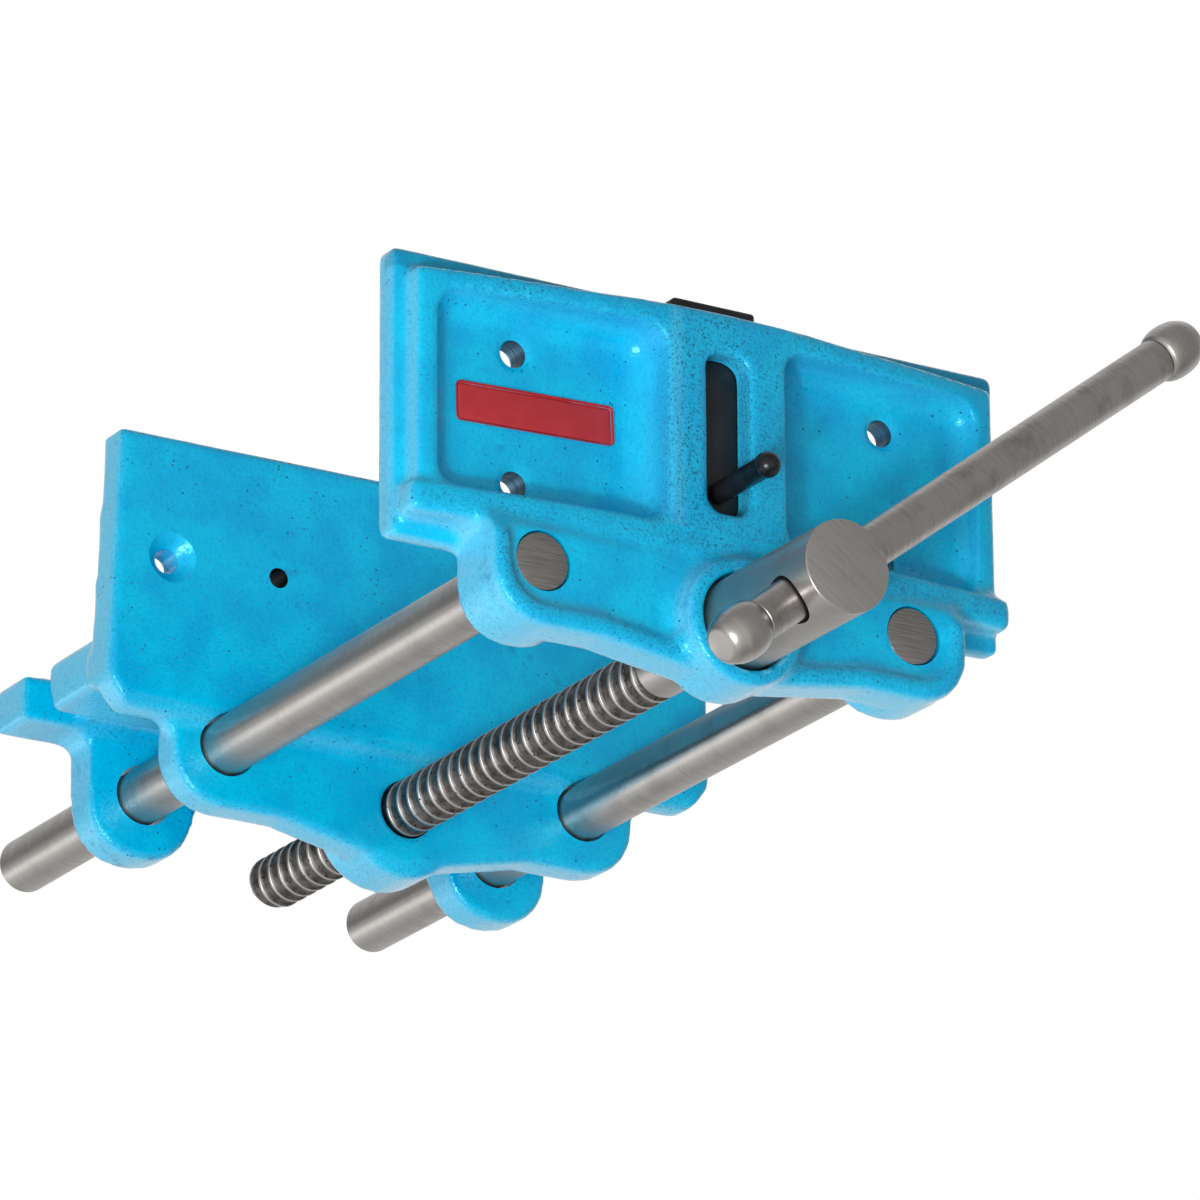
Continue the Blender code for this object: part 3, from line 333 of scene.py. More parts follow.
@dataclass(frozen=True)
class ThreadSteel:
    """Lathe-cut mild steel thread: worn bright crests over darker, pitted grooves, dark partly from oily soot and
    partly as painted shade.
    """

    name: str = "lathe_cut_thread_steel"
    crest: str = "#B2AEAA"
    groove: str = "#74706D"
    soot: str = "#454240"
    pit: str = "#12100F"
    radius: float = 7 * MM
    depth: float = 0.8 * MM
    axis: Vector = Vector((0, 0, 0))

    def build(self) -> bpy.types.Material:
        """Make the material, graded by the distance from the screw's axis."""
        look, tree, shader = new_material(self.name)
        spot = add_node(tree, "ShaderNodeTexCoord").outputs["Object"]
        centred = add_node(tree, "ShaderNodeMapping", {"Vector": spot, "Location": tuple(-self.axis)})
        flat = add_node(
            tree,
            "ShaderNodeVectorMath",
            {0: centred.outputs["Vector"], 1: (1.0, 0.0, 1.0)},
            operation="MULTIPLY",
        )
        reach = add_node(tree, "ShaderNodeVectorMath", {0: flat.outputs["Vector"]}, operation="LENGTH")
        worn = add_node(
            tree,
            "ShaderNodeMapRange",
            {
                "Value": reach.outputs["Value"],
                "From Min": self.radius - 0.22 * MM,
                "From Max": self.radius - 0.05 * MM,
            },
        )
        blotch = add_node(
            tree, "ShaderNodeTexNoise", {"Vector": spot, "Scale": 1 / (2.5 * MM), "Detail": 5.0, "Roughness": 0.7}
        )
        drawn = add_node(
            tree, "ShaderNodeMapping", {"Vector": spot, "Scale": (1 / (4 * MM), 1 / (0.25 * MM), 1 / (4 * MM))}
        )
        lines = add_node(
            tree, "ShaderNodeTexNoise", {"Vector": drawn.outputs["Vector"], "Scale": 1.0, "Detail": 3.0}
        )
        groove = grade(tree, blotch.outputs["Fac"], [(0.38, self.soot), (0.62, self.groove)])
        cells = add_node(tree, "ShaderNodeTexVoronoi", {"Vector": spot, "Scale": 1 / (2.2 * MM)})
        dot = add_node(
            tree,
            "ShaderNodeMapRange",
            {"Value": cells.outputs["Distance"], "From Min": 0.16, "From Max": 0.1},
        )
        # The grooves are darker than the crests: partly oily soot, partly painted shade in the recess.
        metal = add_node(
            tree,
            "ShaderNodeMix",
            {"Factor": worn.outputs["Result"], 6: groove.outputs["Color"], 7: linear(self.crest)},
            data_type="RGBA",
        )
        pitted = add_node(
            tree,
            "ShaderNodeMix",
            {"Factor": dot.outputs["Result"], 6: metal.outputs[2], 7: linear(self.pit)},
            data_type="RGBA",
        )
        gloss = add_node(
            tree, "ShaderNodeMapRange", {"Value": blotch.outputs["Fac"], "To Min": 0.34, "To Max": 0.62}
        )
        tree.links.new(pitted.outputs[2], shader.inputs["Base Color"])
        tree.links.new(gloss.outputs["Result"], shader.inputs["Roughness"])
        shader.inputs["Metallic"].default_value = 1.0
        scratch = add_node(
            tree, "ShaderNodeBump", {"Height": lines.outputs["Fac"], "Strength": 0.5, "Distance": 0.05 * MM}
        )
        tree.links.new(scratch.outputs["Normal"], shader.inputs["Normal"])
        return look


@dataclass(frozen=True)
class SatinCoat:
    """A dark oxide or printed film: satin, faintly mottled, with fine grain."""

    name: str
    colour: str
    worn: str
    roughness: float = 0.42
    metallic: float = 0.0
    grain: float = 0.8 * MM
    lift: float = 0.05 * MM

    def build(self) -> bpy.types.Material:
        """Make the material from one mottling noise and one fine grain."""
        look, tree, shader = new_material(self.name)
        spot = add_node(tree, "ShaderNodeTexCoord").outputs["Object"]
        mottle = add_node(
            tree, "ShaderNodeTexNoise", {"Vector": spot, "Scale": 1 / (6 * MM), "Detail": 5.0, "Roughness": 0.6}
        )
        grain = add_node(tree, "ShaderNodeTexNoise", {"Vector": spot, "Scale": 1 / self.grain, "Detail": 3.0})
        tone = grade(tree, mottle.outputs["Fac"], [(0.4, self.colour), (0.75, self.worn)])
        gloss = add_node(
            tree,
            "ShaderNodeMapRange",
            {"Value": mottle.outputs["Fac"], "To Min": self.roughness - 0.1, "To Max": self.roughness + 0.1},
        )
        tree.links.new(tone.outputs["Color"], shader.inputs["Base Color"])
        tree.links.new(gloss.outputs["Result"], shader.inputs["Roughness"])
        shader.inputs["Metallic"].default_value = self.metallic
        skin = add_node(
            tree, "ShaderNodeBump", {"Height": grain.outputs["Fac"], "Strength": 0.5, "Distance": self.lift}
        )
        tree.links.new(skin.outputs["Normal"], shader.inputs["Normal"])
        return look


def deselect() -> None:
    """Select nothing, so that the next operator acts on its own piece alone."""
    if bpy.context.mode != "OBJECT":
        bpy.ops.object.mode_set(mode="OBJECT")
    bpy.ops.object.select_all(action="DESELECT")


def pick(piece: Piece) -> None:
    """Select one piece and make it the active one."""
    deselect()
    piece.select_set(True)
    bpy.context.view_layer.objects.active = piece


def apply(piece: Piece, kind: str, **settings: object) -> None:
    """Add a modifier with its settings and apply it."""
    pick(piece)
    step = piece.modifiers.new(kind.lower(), kind)
    for name, value in settings.items():
        setattr(step, name, value)
    bpy.ops.object.modifier_apply(modifier=step.name)


def settle(piece: Piece, name: str) -> Piece:
    """Name a new piece and put its place into its mesh, so that its object sits at the origin."""
    pick(piece)
    bpy.ops.object.transform_apply(location=True, rotation=True, scale=True)
    piece.name = name
    piece.data.name = name
    return piece


def join(piece: Piece, others: list[Piece]) -> Piece:
    """Make several pieces one mesh, under the first one's name."""
    pick(piece)
    for other in others:
        other.select_set(True)
    bpy.ops.object.join()
    return piece


def carve(piece: Piece, *passes: list[Piece]) -> None:
    """Cut tools out of a piece, pass by pass, and throw them away.

    Args:
        piece: The piece that is cut.
        *passes: Lists of tools; those in one list don't touch each other.
    """
    for tools in passes:
        tool = join(tools[0], tools[1:])
        apply(piece, "BOOLEAN", operation="DIFFERENCE", solver="EXACT", object=tool)
        bpy.data.objects.remove(tool, do_unlink=True)


def saw(piece: Piece, place: Vector, axis: int, keep_high: bool) -> None:
    """Saw a piece square to an axis, throw one side away and close the cut.

    Args:
        piece: The piece that is sawn.
        place: A point of the cut.
        axis: Number of the axis that the cut is square to.
        keep_high: Whether the side toward the axis's end stays.
    """
    pick(piece)
    bpy.ops.object.mode_set(mode="EDIT")
    bpy.ops.mesh.select_all(action="SELECT")
    normal = [float(axis == number) for number in range(3)]
    sides = {"clear_inner": keep_high, "clear_outer": not keep_high}
    bpy.ops.mesh.bisect(plane_co=place, plane_no=normal, use_fill=True, threshold=WELD, **sides)
    bpy.ops.object.mode_set(mode="OBJECT")


def crop(piece: Piece, low: Vector, high: Vector) -> None:
    """Keep only what lies between two corners, and close the cuts."""
    for axis in range(3):
        saw(piece, low, axis, True)
        saw(piece, high, axis, False)


def duplicate(piece: Piece) -> Piece:
    """Return a copy of a piece with its own mesh."""
    copy = piece.copy()
    copy.data = piece.data.copy()
    bpy.context.scene.collection.objects.link(copy)
    return copy


FACING_FRONT = (math.pi / 2, 0.0, 0.0)


def cylinder(
    name: str, radius: float, length: float, middle: Vector, turn: tuple = FACING_FRONT, sides: int = 96
) -> Piece:
    """Add a cylinder about its own axis, along the screw unless it is turned.

    Args:
        name: The piece's name.
        radius: Its radius.
        length: Its length.
        middle: Its middle.
        turn: Rotation that lays its axis.
        sides: Number of sides.

    Returns:
        The piece, settled in the frame.
    """
    deselect()
    bpy.ops.mesh.primitive_cylinder_add(
        vertices=sides, radius=radius, depth=length, location=middle, rotation=turn, end_fill_type="NGON"
    )
    return settle(bpy.context.active_object, name)


def block(name: str, low: Vector, high: Vector) -> Piece:
    """Add a box between two corners."""
    deselect()
    bpy.ops.mesh.primitive_cube_add(size=1, location=(low + high) / 2, scale=high - low)
    return settle(bpy.context.active_object, name)


def lathe(name: str, profile: list[Point], middle: Vector, turn: Matrix, steps: int = 96) -> Piece:
    """Turn a piece on a lathe: draw its profile by extruding points, then spin it.

    Args:
        name: The piece's name.
        profile: Radius and height of each point, from one end of the axis to the other.
        middle: Where height zero of the axis goes.
        turn: Rotation that lays the local Z axis.
        steps: Steps of the spin.

    Returns:
        The piece, settled in the frame, with its faces pointing out.
    """
    deselect()
    bpy.ops.mesh.primitive_plane_add(size=MM)
    piece = bpy.context.active_object
    bpy.ops.object.mode_set(mode="EDIT")
    bpy.ops.mesh.select_mode(type="VERT")
    bpy.ops.mesh.select_all(action="SELECT")
    bpy.ops.mesh.merge(type="CENTER")
    bpy.ops.transform.translate(value=(profile[0][0], 0, profile[0][1]))
    for before, after in zip(profile, profile[1:]):
        step = (after[0] - before[0], 0, after[1] - before[1])
        bpy.ops.mesh.extrude_region_move(TRANSFORM_OT_translate={"value": step})
    bpy.ops.mesh.select_all(action="SELECT")
    bpy.ops.mesh.spin(steps=steps, angle=TURN, center=(0, 0, 0), axis=(0, 0, 1))
    bpy.ops.mesh.select_all(action="SELECT")
    bpy.ops.mesh.remove_doubles(threshold=WELD)
    bpy.ops.mesh.normals_make_consistent(inside=False)
    bpy.ops.object.mode_set(mode="OBJECT")
    piece.matrix_world = Matrix.Translation(middle) @ turn.to_4x4()
    return settle(piece, name)


def arc(centre: Point, radius: float, start: float, end: float, steps: int) -> list[Point]:
    """Return points of an arc in a profile, angles in degrees from the radius axis."""
    angles = [math.radians(start + (end - start) * step / steps) for step in range(steps + 1)]
    return [(centre[0] + radius * math.cos(angle), centre[1] + radius * math.sin(angle)) for angle in angles]


def smooth(piece: Piece, degrees: float) -> None:
    """Shade a piece smooth except at edges sharper than an angle."""
    pick(piece)
    bpy.ops.object.shade_smooth_by_angle(angle=math.radians(degrees))


def wear(piece: Piece, *looks: bpy.types.Material) -> None:
    """Give a piece its materials."""
    piece.data.materials.clear()
    for look in looks:
        piece.data.materials.append(look)


def hand_over(piece: Piece, body: str, slot: str, *nodes: str) -> None:
    """Let a finished piece ride on its body and stand for its nodes.

    Args:
        piece: The finished piece.
        body: The body that carries it.
        slot: The record's material slot; not used.
        *nodes: The nodes that it replaces.
    """
    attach(piece, body)
    if nodes:
        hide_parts(*nodes)
    LOG.info("%s: %d faces on %s", piece.name, len(piece.data.polygons), body)


@dataclass(frozen=True)
class Layout:
    """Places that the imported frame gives: faces, axes and ends."""

    front_clamp: float
    rear_clamp: float
    jaw_top: float
    rods: tuple[Vector, Vector]
    screw: Vector
    slope: Vector
    cross: Vector

    @classmethod
    def read(cls) -> "Layout":
        """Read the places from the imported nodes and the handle's joint."""
        front_low, front_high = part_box("front_jaw")
        middles = [sum(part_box(f"guide_rod_{side}"), Vector()) / 2 for side in ("left", "right")]
        screw = sum(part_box("lead_screw"), Vector()) / 2
        joint = next(item for item in frame["joints"] if item["name"] == "handle_slide")
        ball = sum(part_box("handle_bar"), Vector()) / 2
        return cls(
            front_clamp=front_high.y,
            rear_clamp=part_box("rear_jaw")[0].y,
            jaw_top=front_high.z,
            rods=(middles[0], middles[1]),
            screw=screw,
            slope=Vector(joint["axis"]).normalized(),
            cross=Vector((screw.x, ball.y, screw.z)),
        )

    def front(self, depth: float, x: float = 0.0, drop: float = 0.0) -> Vector:
        """Return a point so far in front of the front jaw's clamp face and under the jaw tops."""
        return Vector((x, self.front_clamp - depth, self.jaw_top - drop))

    def rear(self, depth: float, x: float = 0.0, drop: float = 0.0) -> Vector:
        """Return a point so far behind the rear jaw's clamp face and under the jaw tops."""
        return Vector((x, self.rear_clamp + depth, self.jaw_top - drop))


@dataclass(frozen=True)
class Blend:
    """A region of a casting whose inner corners carry a wider fillet."""

    radius: float
    low: Vector
    high: Vector


@dataclass
class Casting:
    """A sand casting remade from its CAD solid, with soft fillets, waviness and crisp bores."""

    layout: Layout
    node: str
    body: str
    voxel: float = 0.7 * MM
    fillet: float = 1.6 * MM
    passes: int = 2
    growth: float = 0.35 * MM
    wave_size: float = 9 * MM
    wave_height: float = 0.16 * MM
    crisp: float = 40.0

    def plugs(self) -> list[Piece]:
        """Return fillers for what is machined, so that the fillets form on the raw casting."""
        return []

    def blends(self) -> list[Blend]:
        """Return the regions with wider fillets."""
        return []

    def cutters(self) -> list[list[Piece]]:
        """Return the machining, bores, holes and slots, in passes of tools that don't touch."""
        return []

    def bend(self, piece: Piece) -> None:
        """Give the raw casting what the plain solid hasn't."""

    def is_bare(self, spot: Vector) -> bool:
        """Say whether a face at this place was machined after the painting."""
        return False

    def rubbing(self, spot: Vector, normal: Vector) -> float:
        """Return how much the paint is rubbed at a place, from zero to one."""
        return 0.0

    def painted_shade_share(self, spot: Vector, normal: Vector) -> float:
        """Return how much painted shade lies at a place, from zero to one."""
        return 0.0

    def painted_sheen_share(self, spot: Vector, normal: Vector) -> float:
        """Return how much painted pale sheen a surface gets: faces turned away from the front and the rear are painted
        paler.
        """
        return min(1.0, max(0.0, (0.75 - abs(normal.y)) / 0.5))

    def pour(self) -> Piece:
        """Copy the CAD solid, weld its loose triangles and fill its machined holes."""
        source = frame["nodes"][self.node]
        piece = bpy.data.objects.new(self.node + "_casting", source.data.copy())
        bpy.context.scene.collection.objects.link(piece)
        pick(piece)
        bpy.ops.object.mode_set(mode="EDIT")
        bpy.ops.mesh.select_all(action="SELECT")
        bpy.ops.mesh.remove_doubles(threshold=WELD)
        bpy.ops.object.mode_set(mode="OBJECT")
        join(piece, self.plugs())
        self.reskin(piece)
        self.bend(piece)
        return piece

    def reskin(self, piece: Piece) -> None:
        """Give a piece one even skin, which merges what overlaps in it."""
        apply(piece, "REMESH", mode="VOXEL", voxel_size=self.voxel, adaptivity=0.0)

    def filled(self, raw: Piece, radius: float) -> Piece:
        """Return a copy whose skin was swollen and drawn back, which fills its inner corners."""
        copy = duplicate(raw)
        for strength in (radius, -radius):
            apply(copy, "DISPLACE", strength=strength, mid_level=0.0)
            self.reskin(copy)
        return copy

    def blended(self, raw: Piece, blend: Blend) -> Piece:
        """Return one region of the casting with its wider fillets."""
        copy = duplicate(raw)
        reach = Vector((1, 1, 1)) * 2 * blend.radius
        crop(copy, blend.low - reach, blend.high + reach)
        region = self.filled(copy, blend.radius)
        bpy.data.objects.remove(copy, do_unlink=True)
        crop(region, blend.low, blend.high)
        return region

    def soften(self, piece: Piece) -> None:
        """Fillet the inner corners, take the sharpness off the outer ones and make the skin wavy."""
        fills = [self.filled(piece, self.fillet)]
        fills += [self.blended(piece, blend) for blend in self.blends()]
        join(piece, fills)
        self.reskin(piece)
        apply(piece, "SMOOTH", factor=0.5, iterations=self.passes)
        sand = bpy.data.textures.new(self.node + "_waviness", "CLOUDS")
        sand.noise_scale = self.wave_size
        sand.noise_depth = 2
        wavy = {"strength": self.wave_height, "mid_level": 0.5, "texture_coords": "LOCAL"}
        apply(piece, "DISPLACE", texture=sand, **wavy)
        # The growth gives back what the rounding takes from the outline.
        apply(piece, "DISPLACE", strength=self.growth, mid_level=0.0)

    def rub(self, piece: Piece) -> None:
        """Store rubbing, painted pale sheen and painted shade of the paint at each vertex."""
        corners = [(spot.co.copy(), spot.normal.copy()) for spot in piece.data.vertices]
        shares = {
            RUBBED: [self.rubbing(*corner) for corner in corners],
            PALE_SHEEN: [self.painted_sheen_share(*corner) for corner in corners],
            LEDGE_SHADE: [self.painted_shade_share(*corner) for corner in corners],
        }
        for name, values in shares.items():
            piece.data.attributes.new(name, "FLOAT", "POINT").data.foreach_set("value", values)

    def build(self, enamel: bpy.types.Material, bare: bpy.types.Material) -> Piece:
        """Make the casting and hand it over.

        Args:
            enamel: The paint.
            bare: The metal in holes drilled after painting.

        Returns:
            The finished casting.
        """
        piece = self.pour()
        self.soften(piece)
        self.face(piece)
        self.rub(piece)
        carve(piece, *self.cutters())
        wear(piece, enamel, bare)
        pick(piece)
        bpy.ops.object.shade_smooth()
        milled = (20 * self.voxel) ** 2
        for face in piece.data.polygons:
            face.material_index = int(self.is_bare(face.center))
            face.use_smooth = face.area < milled
        self.crease(piece)
        hand_over(piece, self.body, "blue_casting", self.node)
        return piece

    def face(self, piece: Piece) -> None:
        """Leave the clamp face as cast; a jaw whose face is milled overrides this."""

    def crease(self, piece: Piece) -> None:
        """Keep the rims of the bores crisp."""
        pick(piece)
        bpy.ops.object.mode_set(mode="EDIT")
        bpy.ops.mesh.select_mode(type="EDGE")
        bpy.ops.mesh.select_all(action="DESELECT")
        bpy.ops.mesh.edges_select_sharp(sharpness=math.radians(self.crisp))
        bpy.ops.mesh.mark_sharp()
        bpy.ops.object.mode_set(mode="OBJECT")


@dataclass
class FrontJaw(Casting):
    """The front jaw: bowed rim, pockets, dog channel and slot, recessed apron and screw boss."""

    rod_reach: tuple[float, float] = (3.8 * MM, 19.6 * MM)
    boss_reach: tuple[float, float] = (10.3 * MM, 27.3 * MM)
    rim_depth: float = 12.3 * MM
    rib_depth: float = 20.2 * MM
    plate: float = 7.2 * MM
    rim_top: float = 5.6 * MM
    channel: tuple[float, float, float, float] = (11.6 * MM, 3.2 * MM, 14.6 * MM, 60 * MM)
    channel_fill: float = 12 * MM
    hole_x: float = 50.5 * MM
    hole_drops: tuple[float, float] = (20.2 * MM, 52.7 * MM)
    hole_radius: float = 3.4 * MM
    dimple: float = 1.8 * MM
    rod_bore: float = 7.3 * MM
    shank_bore: float = 7.6 * MM
    counterbore: float = 11.8 * MM
    counterbore_floor: float = 17.3 * MM
    boss_front: float = 27.3 * MM
    boss_lip: float = 1.2 * MM
    pocket: tuple[float, float, float, float] = (14 * MM, 76 * MM, 8 * MM, 62 * MM)
    pocket_fillet: float = 5 * MM
    apron: tuple[float, float, float] = (57 * MM, 100 * MM, 13.5 * MM)
    apron_fillet: float = 3 * MM
    brow: tuple[float, float] = (1.0 * MM, 50 * MM)
    shelf_drop: float = 60 * MM
    apron_rubbed: float = 20.6 * MM
    rub_fade: float = 1.5 * MM
    rib_edge: tuple[float, float] = (14.2 * MM, 2.6 * MM)
    reach: float = 60 * MM

    def holes(self) -> list[tuple[float, float]]:
        """Return x and drop of the four cheek screw holes."""
        return [(side * self.hole_x, drop) for side in (-1, 1) for drop in self.hole_drops]

    def plugs(self) -> list[Piece]:
        """Fill the rod bores, the screw boss, the cheek holes, the dog's channel and its slot."""
        at = self.layout.front
        fills = []
        near, far = self.rod_reach
        for rod in self.layout.rods:
            fills.append(
                cylinder("plug", self.rod_bore * 1.06, far - near, at((near + far) / 2, rod.x, self.layout.jaw_top - rod.z))
            )
        near, far = self.boss_reach
        drop = self.layout.jaw_top - self.layout.screw.z
        fills.append(cylinder("plug", self.counterbore * 1.05, far - near, at((near + far) / 2, 0, drop)))
        thick = self.plate - self.dimple
        for x, drop in self.holes():
            fills.append(cylinder("plug", self.hole_radius * 1.15, thick, at(thick / 2, x, drop)))
        half, back, _, bottom = self.channel
        wide = half * 1.04
        fills.append(block("plug", at(self.channel_fill, -wide, bottom), at(back / 2, wide, self.rim_top)))
        fills.append(block("plug", at(self.plate, -wide, bottom), at(back / 2, wide, 0)))
        return fills

    def blends(self) -> list[Blend]:
        """Return the pockets and the apron's front."""
        at = self.layout.front
        inner, outer, top, bottom = self.pocket
        sides = [
            Blend(self.pocket_fillet, at(self.reach, left, bottom), at(self.plate / 2, right, top))
            for left, right in ((-outer, -inner), (inner, outer))
        ]
        top, bottom, back = self.apron
        apron = Blend(self.apron_fillet, at(self.reach, -self.reach * 2, bottom), at(back, self.reach * 2, top))
        return [*sides, apron]

    def bend(self, piece: Piece) -> None:
        """Let the rim's top rise a little toward the rib."""
        brow = piece.vertex_groups.new(name="brow")
        tall, wide = self.brow
        for spot in piece.data.vertices:
            place = spot.co
            depth = self.layout.front_clamp - place.y
            drop = self.layout.jaw_top - place.z
            if depth > self.plate + self.voxel and drop < self.rim_top + self.voxel and abs(place.x) < wide:
                brow.add([spot.index], math.cos(math.pi / 2 * place.x / wide) ** 2, "REPLACE")
        apply(piece, "DISPLACE", strength=tall, mid_level=0.0, direction="Z", vertex_group="brow")

    def face(self, piece: Piece) -> None:
        """Mill the clamp face flat."""
        saw(piece, self.layout.front(0), 1, False)

    def rubbing(self, spot: Vector, normal: Vector) -> float:
        """The rim, the rib and the lips of boss and apron stand proud and are rubbed."""
        depth = self.layout.front_clamp - spot.y
        drop = self.layout.jaw_top - spot.z
        if drop < self.shelf_drop:
            return min(1.0, max(0.0, (depth - self.rim_depth) / (self.rib_depth - self.rim_depth)) * 1.4)
        reach = math.hypot(spot.x, spot.z - self.layout.screw.z)
        lip = max(0.0, 1 - abs(reach - self.counterbore - self.rub_fade) / (2 * self.rub_fade))
        border = min(1.0, max(0.0, (depth - self.apron_rubbed) / self.rub_fade))
        slope = max(0.0, 1 - abs(drop - self.shelf_drop - 2 * self.rub_fade) / (4 * self.rub_fade))
        return max(lip * border, 0.8 * border * max(0.0, normal.y * -1), slope * 0.8)

    def painted_sheen_share(self, spot: Vector, normal: Vector) -> float:
        """Inside the pockets and the slot the painted pale sheen is weaker than outside; the rib's left edge gets a
        painted highlight.
        """
        inside = abs(spot.x) < self.pocket[1] and self.layout.jaw_top - spot.z < self.shelf_drop
        proud = self.layout.front_clamp - spot.y > self.rim_depth
        place, wide = self.rib_edge
        edge = 0.4 * max(0.0, 1 - abs(spot.x + place) / wide) * float(inside and proud)
        return max(edge, super().painted_sheen_share(spot, normal) * (0.25 if inside else 1.0))

    def painted_shade_share(self, spot: Vector, normal: Vector) -> float:
        """Painted shade on the plate's front above the rim, darkest toward the middle."""
        depth = self.layout.front_clamp - spot.y
        drop = self.layout.jaw_top - spot.z
        above = drop < self.rim_top - self.voxel and self.plate / 2 < depth < self.rim_depth
        side = min(1.0, max(0.35, 1.5 - abs(spot.x) / self.hole_x))
        return side * 0.85 * float(above)

    def cutters(self) -> list[list[Piece]]:
        """Return the bores of rods and screw, the cheek holes and the dog's channel."""
        at = self.layout.front
        first = []
        for rod in self.layout.rods:
            first.append(cylinder("cut", self.rod_bore, self.reach, at(0, rod.x, self.layout.jaw_top - rod.z)))
        drop = self.layout.jaw_top - self.layout.screw.z
        first.append(cylinder("cut", self.shank_bore, self.reach, at(0, 0, drop)))
        for x, hole_drop in self.holes():
            first.append(cylinder("cut", self.hole_radius, self.reach, at(0, x, hole_drop), sides=48))
        half, back, mouth, bottom = self.channel
        first.append(block("cut", at(mouth, -half, bottom), at(back, half, -self.reach)))
        lip = self.boss_lip
        mouth = self.boss_front - self.counterbore_floor + self.growth
        profile = [(0, 0), (self.counterbore, 0), (self.counterbore, mouth / 2)]
        profile += [
            (self.counterbore + lip - radius, mouth - height)
            for radius, height in arc((0, lip), lip, 0, -90, 6)
        ]
        profile += [(self.counterbore + lip, self.reach), (0, self.reach)]
        bore = lathe("cut", profile, at(self.counterbore_floor, 0, drop), Euler(FACING_FRONT).to_matrix())
        return [first, [bore]]

    def is_bare(self, spot: Vector) -> bool:
        """The cheek holes were drilled through the paint."""
        drop = self.layout.jaw_top - spot.z
        return any(math.hypot(spot.x - x, drop - hole) < self.hole_radius for x, hole in self.holes())


